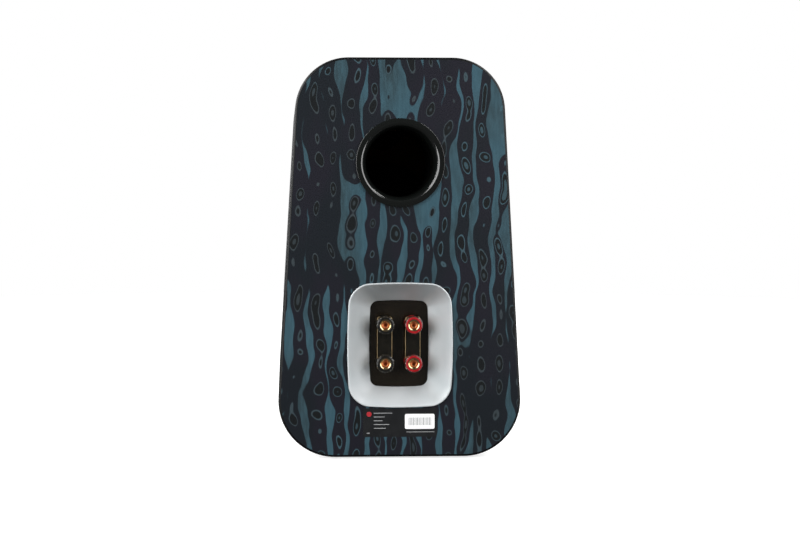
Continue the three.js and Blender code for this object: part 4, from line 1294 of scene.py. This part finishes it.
woofer = Driver("woofer", face_width=0.010, roll=0.0095, cone_depth=0.024, coil_radius=0.0194, cap_radius=0.025,
                cap_rise=0.0085, back_radius=0.050, basket_depth=0.044, neck_radius=0.030, arms=6, screws=8)
mid = Driver("mid", face_width=0.0085, roll=0.006, cone_depth=0.014, coil_radius=0.0125, cap_radius=0.0155,
             cap_rise=0.0055, back_radius=0.034, basket_depth=0.027, neck_radius=0.020, arms=4, screws=6)
enamelled_copper = turned_metal("enamelled_copper", (170, 88, 44), (196, 108, 58), (0.22, 0.34))
for driver in (woofer, mid):
    cone_finish = pulp_cone(driver.node + "_coated_pulp", driver.centre)
    add_frame(driver)
    add_cone(driver, cone_finish)
    add_surround(driver)
    add_coil(driver, enamelled_copper)
    add_screws(driver.centre, driver.face, driver.rim - 0.0045, driver.screws, driver.node + "_frame_screws")
print("woofer cone in mm:", round(2000 * woofer.cone_radius), "mid cone in mm:", round(2000 * mid.cone_radius))

# %% [markdown]
# ## Spider and magnets
# The spider is a disc of resin-treated cloth, pressed into rings so that it can stretch. It centres
# the woofer's coil and moves with it on the inside. The steel plates and the magnet are turned rings
# with small bevels, which keep their edges from looking cut out of paper.

# %% Spider, plates and magnets
def add_spider(driver):
    """Height = a sine of the radius, in rings one wave apart, fading out at both bonds."""
    low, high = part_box("woofer_spider")
    inner, outer = driver.coil_radius + 0.0006, (high.x - low.x) / 2
    middle, swing, wave = (low.y + high.y) / 2 - 0.0003, 0.0012, 0.004
    radii = np.linspace(inner, outer, 90)
    s = (radii - inner) / (outer - inner)
    fade = np.clip(np.minimum(s, 1 - s) / 0.12, 0, 1)
    front = np.stack([radii, middle + swing * fade * np.sin((radii - inner) / wave * 2 * math.pi)], -1)
    cloth = woven("spider_cloth_amber", (120, 84, 30), (186, 142, 62), 0.0007, 0.00012, 0.85, driver.centre,
                  sheen_weight=0.3)
    soft_piece("woofer_spider_pressed", thin_sheet(front, 0.0004), driver, cloth, "woofer_spider")


def add_plate_ring(node, inner, finish, slot, edge=0.0006):
    low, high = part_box(node)
    section = ring_section(inner, (high.x - low.x) / 2, low.y, high.y, edge, 4)
    ring_piece(node + "_turned", section, axis_of(low, high), finish, 128, stands_for=node, slot=slot)


def add_woofer_motor():
    add_plate_ring("woofer_top_plate", woofer.coil_radius + 0.0012, zinc_steel, "plated_steel")
    add_plate_ring("woofer_magnet", woofer.coil_radius + 0.0052, ferrite_grey, "ferrite", 0.0012)
    low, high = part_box("woofer_yoke")
    pole, outer = woofer.coil_radius - 0.0014, (high.x - low.x) / 2
    step = high.y - 0.008
    section = filleted([(0, low.y), (pole, low.y), (pole, step), (outer, step), (outer, high.y), (0, high.y)],
                       [0, 0.0008, 0.0004, 0.0006, 0.0015, 0], 5)
    ring_piece("woofer_yoke_turned", section, woofer.centre, zinc_steel, 128, stands_for="woofer_yoke",
               slot="plated_steel")


def add_mid_motor():
    low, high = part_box("mid_motor")
    outer, pole, gap = (high.x - low.x) / 2, mid.coil_radius - 0.0014, mid.coil_radius + 0.0012
    plate, front, back = outer - 0.002, low.y + 0.004, high.y - 0.005
    section = filleted([(0, low.y), (pole, low.y), (pole, back), (gap, back), (gap, low.y), (plate, low.y),
                        (plate, front), (outer, front), (outer, back), (plate, back), (plate, high.y), (0, high.y)],
                       [0, 0.0004, 0.0003, 0.0003, 0.0004, 0.0005, 0.0003, 0.0010, 0.0010, 0.0003, 0.0008, 0], 4)
    ring_piece("mid_motor_turned", section, mid.centre, ferrite_grey, 96, stands_for="mid_motor", slot="ferrite")
    low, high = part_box("mid_chamber")
    outer, wall = (high.x - low.x) / 2, 0.003
    section = filleted([(0, high.y - wall), (outer - wall, high.y - wall), (outer - wall, low.y), (outer, low.y),
                        (outer, high.y), (0, high.y)], [0, 0.004, 0.0004, 0.0004, 0.006, 0], 6)
    ring_piece("mid_chamber_moulding", section, mid.centre, chamber_black, 128, stands_for="mid_chamber",
               slot="chamber_plastic")


chamber_black = speckled("chamber_moulding_black", (10, 10, 11), (15, 15, 16), 0.02, (0.6, 0.75), 0.0009, 0.00002)
add_spider(woofer)
add_woofer_motor()
add_mid_motor()

# %% [markdown]
# ## The tweeter
# A faceplate with a shallow horn mouth holds a 28 mm dome of coated silk. The dome and its small
# roll are one pressed skin. Its weave is finer than half a millimetre and shows only as a soft
# broken shine, so it is a bump of two crossed waves.

# %% Tweeter
TWEETER_THROAT, TWEETER_MOUTH, DOME_RADIUS, DOME_RISE, DOME_ROLL = 0.0175, 0.032, 0.014, 0.0044, 0.0026


def add_tweeter():
    low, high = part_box("tweeter_faceplate")
    centre, rim, face = axis_of(low, high), (high.x - low.x) / 2, low.y
    t = np.linspace(0, 1, 24)
    horn = np.stack([TWEETER_MOUTH - (TWEETER_MOUTH - TWEETER_THROAT) * t, face + 0.0034 * t ** 1.8], -1)
    section = [*filleted([(TWEETER_MOUTH, face), (rim, face), (rim, face + FLANGE), (0.026, face + FLANGE),
                          (0.026, high.y), (TWEETER_THROAT, high.y)],
                         [0, 0.0012, 0.0004, 0.0003, 0.0004, 0.0003], 5), *horn[::-1]]
    ring_piece("tweeter_faceplate_cast", section[1:], centre, cast_black, 144, stands_for="tweeter_faceplate",
               slot="cast_frame")  # from 1 on, since the horn ends where the face begins
    add_screws(centre, face, 0.0345, 4, "tweeter_screws", head=0.0026)

    low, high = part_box("tweeter_dome")
    base = low.y + DOME_RISE
    s = np.linspace(0, 1, 30)
    dome = np.stack([DOME_RADIUS * s, base - DOME_RISE * (1 - s ** 2)], -1)
    turn = np.linspace(0, math.pi, 14)[1:]
    roll = np.stack([DOME_RADIUS + DOME_ROLL / 2 * (1 - np.cos(turn)), base - DOME_ROLL / 2 * np.sin(turn)], -1)
    section = thin_sheet(np.vstack([dome, roll]), 0.0003)
    silk = woven("coated_silk", (14, 14, 15), (30, 30, 33), 0.00035, 0.00004, 0.5, centre, sheen_weight=0.5,
                 sheen_roughness=0.4)
    ring_piece("tweeter_dome_silk", section, centre, silk, 120, body="tweeter_moving", stands_for="tweeter_dome",
               slot="silk")

    low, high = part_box("tweeter_motor")
    outer = (high.x - low.x) / 2
    section = filleted([(0, low.y + 0.0022), (TWEETER_THROAT, low.y + 0.0022), (TWEETER_THROAT, low.y), (outer, low.y),
                        (outer, high.y), (0, high.y)], [0, 0.0004, 0.0003, 0.0006, 0.0012, 0], 5)
    ring_piece("tweeter_motor_turned", section, centre, ferrite_grey, 96, stands_for="tweeter_motor", slot="ferrite")


add_tweeter()

# %% [markdown]
# ## Feet and what is inside
# Four thin rubber feet carry the cabinet. Inside are a fibreboard brace, a pad of wadding that
# calms the air behind the port, and the crossover: a board with two air-cored coils and two
# capacitors. The pad is soft, so its faces are pushed about by a sum of sines that is zero at the
# edges, which gives the tufted look of felt without a random number.

# %% Feet, brace, pad and crossover
foot_rubber = speckled("foot_rubber_matt", (12, 12, 12), (18, 18, 18), 0.004, (0.7, 0.85), 0.0006, 0.00003)
wool_felt = speckled("wool_felt", (104, 107, 112), (150, 152, 156), 0.0035, (0.95, 1.0), 0.0011, 0.0006, detail=6.0,
                     sheen_weight=0.4)
laminate = speckled("board_laminate", (22, 74, 42), (28, 92, 52), 0.008, (0.3, 0.42), 0.002, 0.00003, coat_weight=0.3)
coil_wire = Finish("coil_wire", metallic=1.0, roughness=0.28)
WIRE = 0.0011  # diameter of the inductors' wire
*_, wire_z = coil_wire.split(coil_wire.place())
turns = coil_wire.node("Math", {"operation": "SINE"}, {0: wire_z * (2 * math.pi / WIRE)})
# Dark in the grooves between the wire's turns and light on their crests: painted shade and painted highlight.
coil_wire.set("Base Color", coil_wire.blend(turns.rises(-1, 1), linear(120, 58, 26), linear(204, 114, 62)))
coil_wire.bump(turns, 0.8, 0.0002)
film_wrap = speckled("film_wrap_yellow", (196, 148, 34), (214, 170, 52), 0.006, (0.3, 0.42), 0.0015, 0.00002,
                     coat_weight=0.3)


def add_feet():
    for node in ("foot_front_left", "foot_front_right", "foot_rear_left", "foot_rear_right"):
        low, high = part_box(node)
        radius = (high.x - low.x) / 2
        section = ring_section(0, radius, low.z, high.z, [0, 0.0007, 0.0002, 0])
        points, quads = turned(section, ((low.x + high.x) / 2, (low.y + high.y) / 2, 0), 64, "z")
        make_piece(node + "_disc", build_mesh(node, points, quads), foot_rubber, stands_for=node, slot="foot_rubber")


def add_pad():
    """A slab as a closed superellipse loft: its edges are rounded, and its wide faces swell by
    sums of sines across X and Z."""
    low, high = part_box("damping_pad")
    middle_x, middle_y = (low.x + high.x) / 2, (low.y + high.y) / 2
    half_x, half_y = (high.x - low.x) / 2 - 0.0012, (high.y - low.y) / 2 - 0.0016
    rows, sides = 40, 160
    angle = np.linspace(0, 2 * math.pi, sides, endpoint=False)
    shape_x = np.sign(np.cos(angle)) * np.abs(np.cos(angle)) ** 0.22
    shape_y = np.sign(np.sin(angle)) * np.abs(np.sin(angle)) ** 0.5
    z = np.linspace(low.z + 0.0012, high.z - 0.0012, rows)[:, None]
    s = (z - z[0]) / (z[-1] - z[0])
    end = np.clip(1 - np.abs(2 * s - 1) ** 14, 0, 1) ** 0.5
    across = half_x * shape_x
    lump = 0.0009 * (np.sin(170 * across + 3 * s) * np.sin(120 * z) + np.sin(95 * across - 210 * z))
    x = middle_x + half_x * shape_x * (0.985 + 0.015 * end)
    y = middle_y + (half_y * end + lump * end) * shape_y
    points = np.stack([x, y, np.broadcast_to(z, x.shape)], -1)
    mesh = build_mesh("damping_pad", points, grid_quads(rows, sides, False, True), crease=80)
    piece = make_piece("damping_pad_wadding", mesh, wool_felt, stands_for="damping_pad", slot="felt")


def add_capacitor(node):
    """A wound film capacitor lying along X: a cylinder whose ends are dipped and slightly domed."""
    low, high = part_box(node)
    radius, centre = (high.z - low.z) / 2, (0, (low.y + high.y) / 2, (low.z + high.z) / 2)
    section = filleted([(0, low.x), (radius - 0.0015, low.x), (radius, low.x + 0.0012), (radius, high.x - 0.0012),
                        (radius - 0.0015, high.x), (0, high.x)], [0, 0.0006, 0.0008, 0.0008, 0.0006, 0], 4)
    points, quads = turned(section, centre, 64, "x")
    make_piece(node + "_wound", build_mesh(node, points, quads), film_wrap, stands_for=node, slot="film")


def add_inductor(node, inner):
    """An air-cored coil about Z, whose side is a row of half-round wires."""
    low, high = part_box(node)
    outer = (high.x - low.x) / 2
    count = int((high.z - low.z - 0.0004) / WIRE)
    z = low.z + 0.0002 + np.arange(count * 6 + 1) * WIRE / 6
    side = np.stack([outer - 0.0004 + 0.0003 * np.abs(np.sin(np.arange(len(z)) * math.pi / 6)), z], -1)
    section = [(inner, low.z + 0.0002), *side, (inner, side[-1, 1])]
    points, quads = turned(section, ((low.x + high.x) / 2, (low.y + high.y) / 2, 0), 80, "z")
    make_piece(node + "_wound", build_mesh(node, points, quads, crease=25), coil_wire, stands_for=node, slot="copper")


def recolour(node, finish):
    """Gives a CAD node that keeps its own shape a finish in place of the plain one."""
    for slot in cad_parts[node].material_slots:
        slot.material = finish.material


add_feet()
add_pad()
add_capacitor("mid_capacitor")
add_capacitor("tweeter_capacitor")
add_inductor("woofer_inductor", 0.009)
add_inductor("mid_inductor", 0.007)
recolour("window_brace", raw_board)
recolour("crossover_board", laminate)
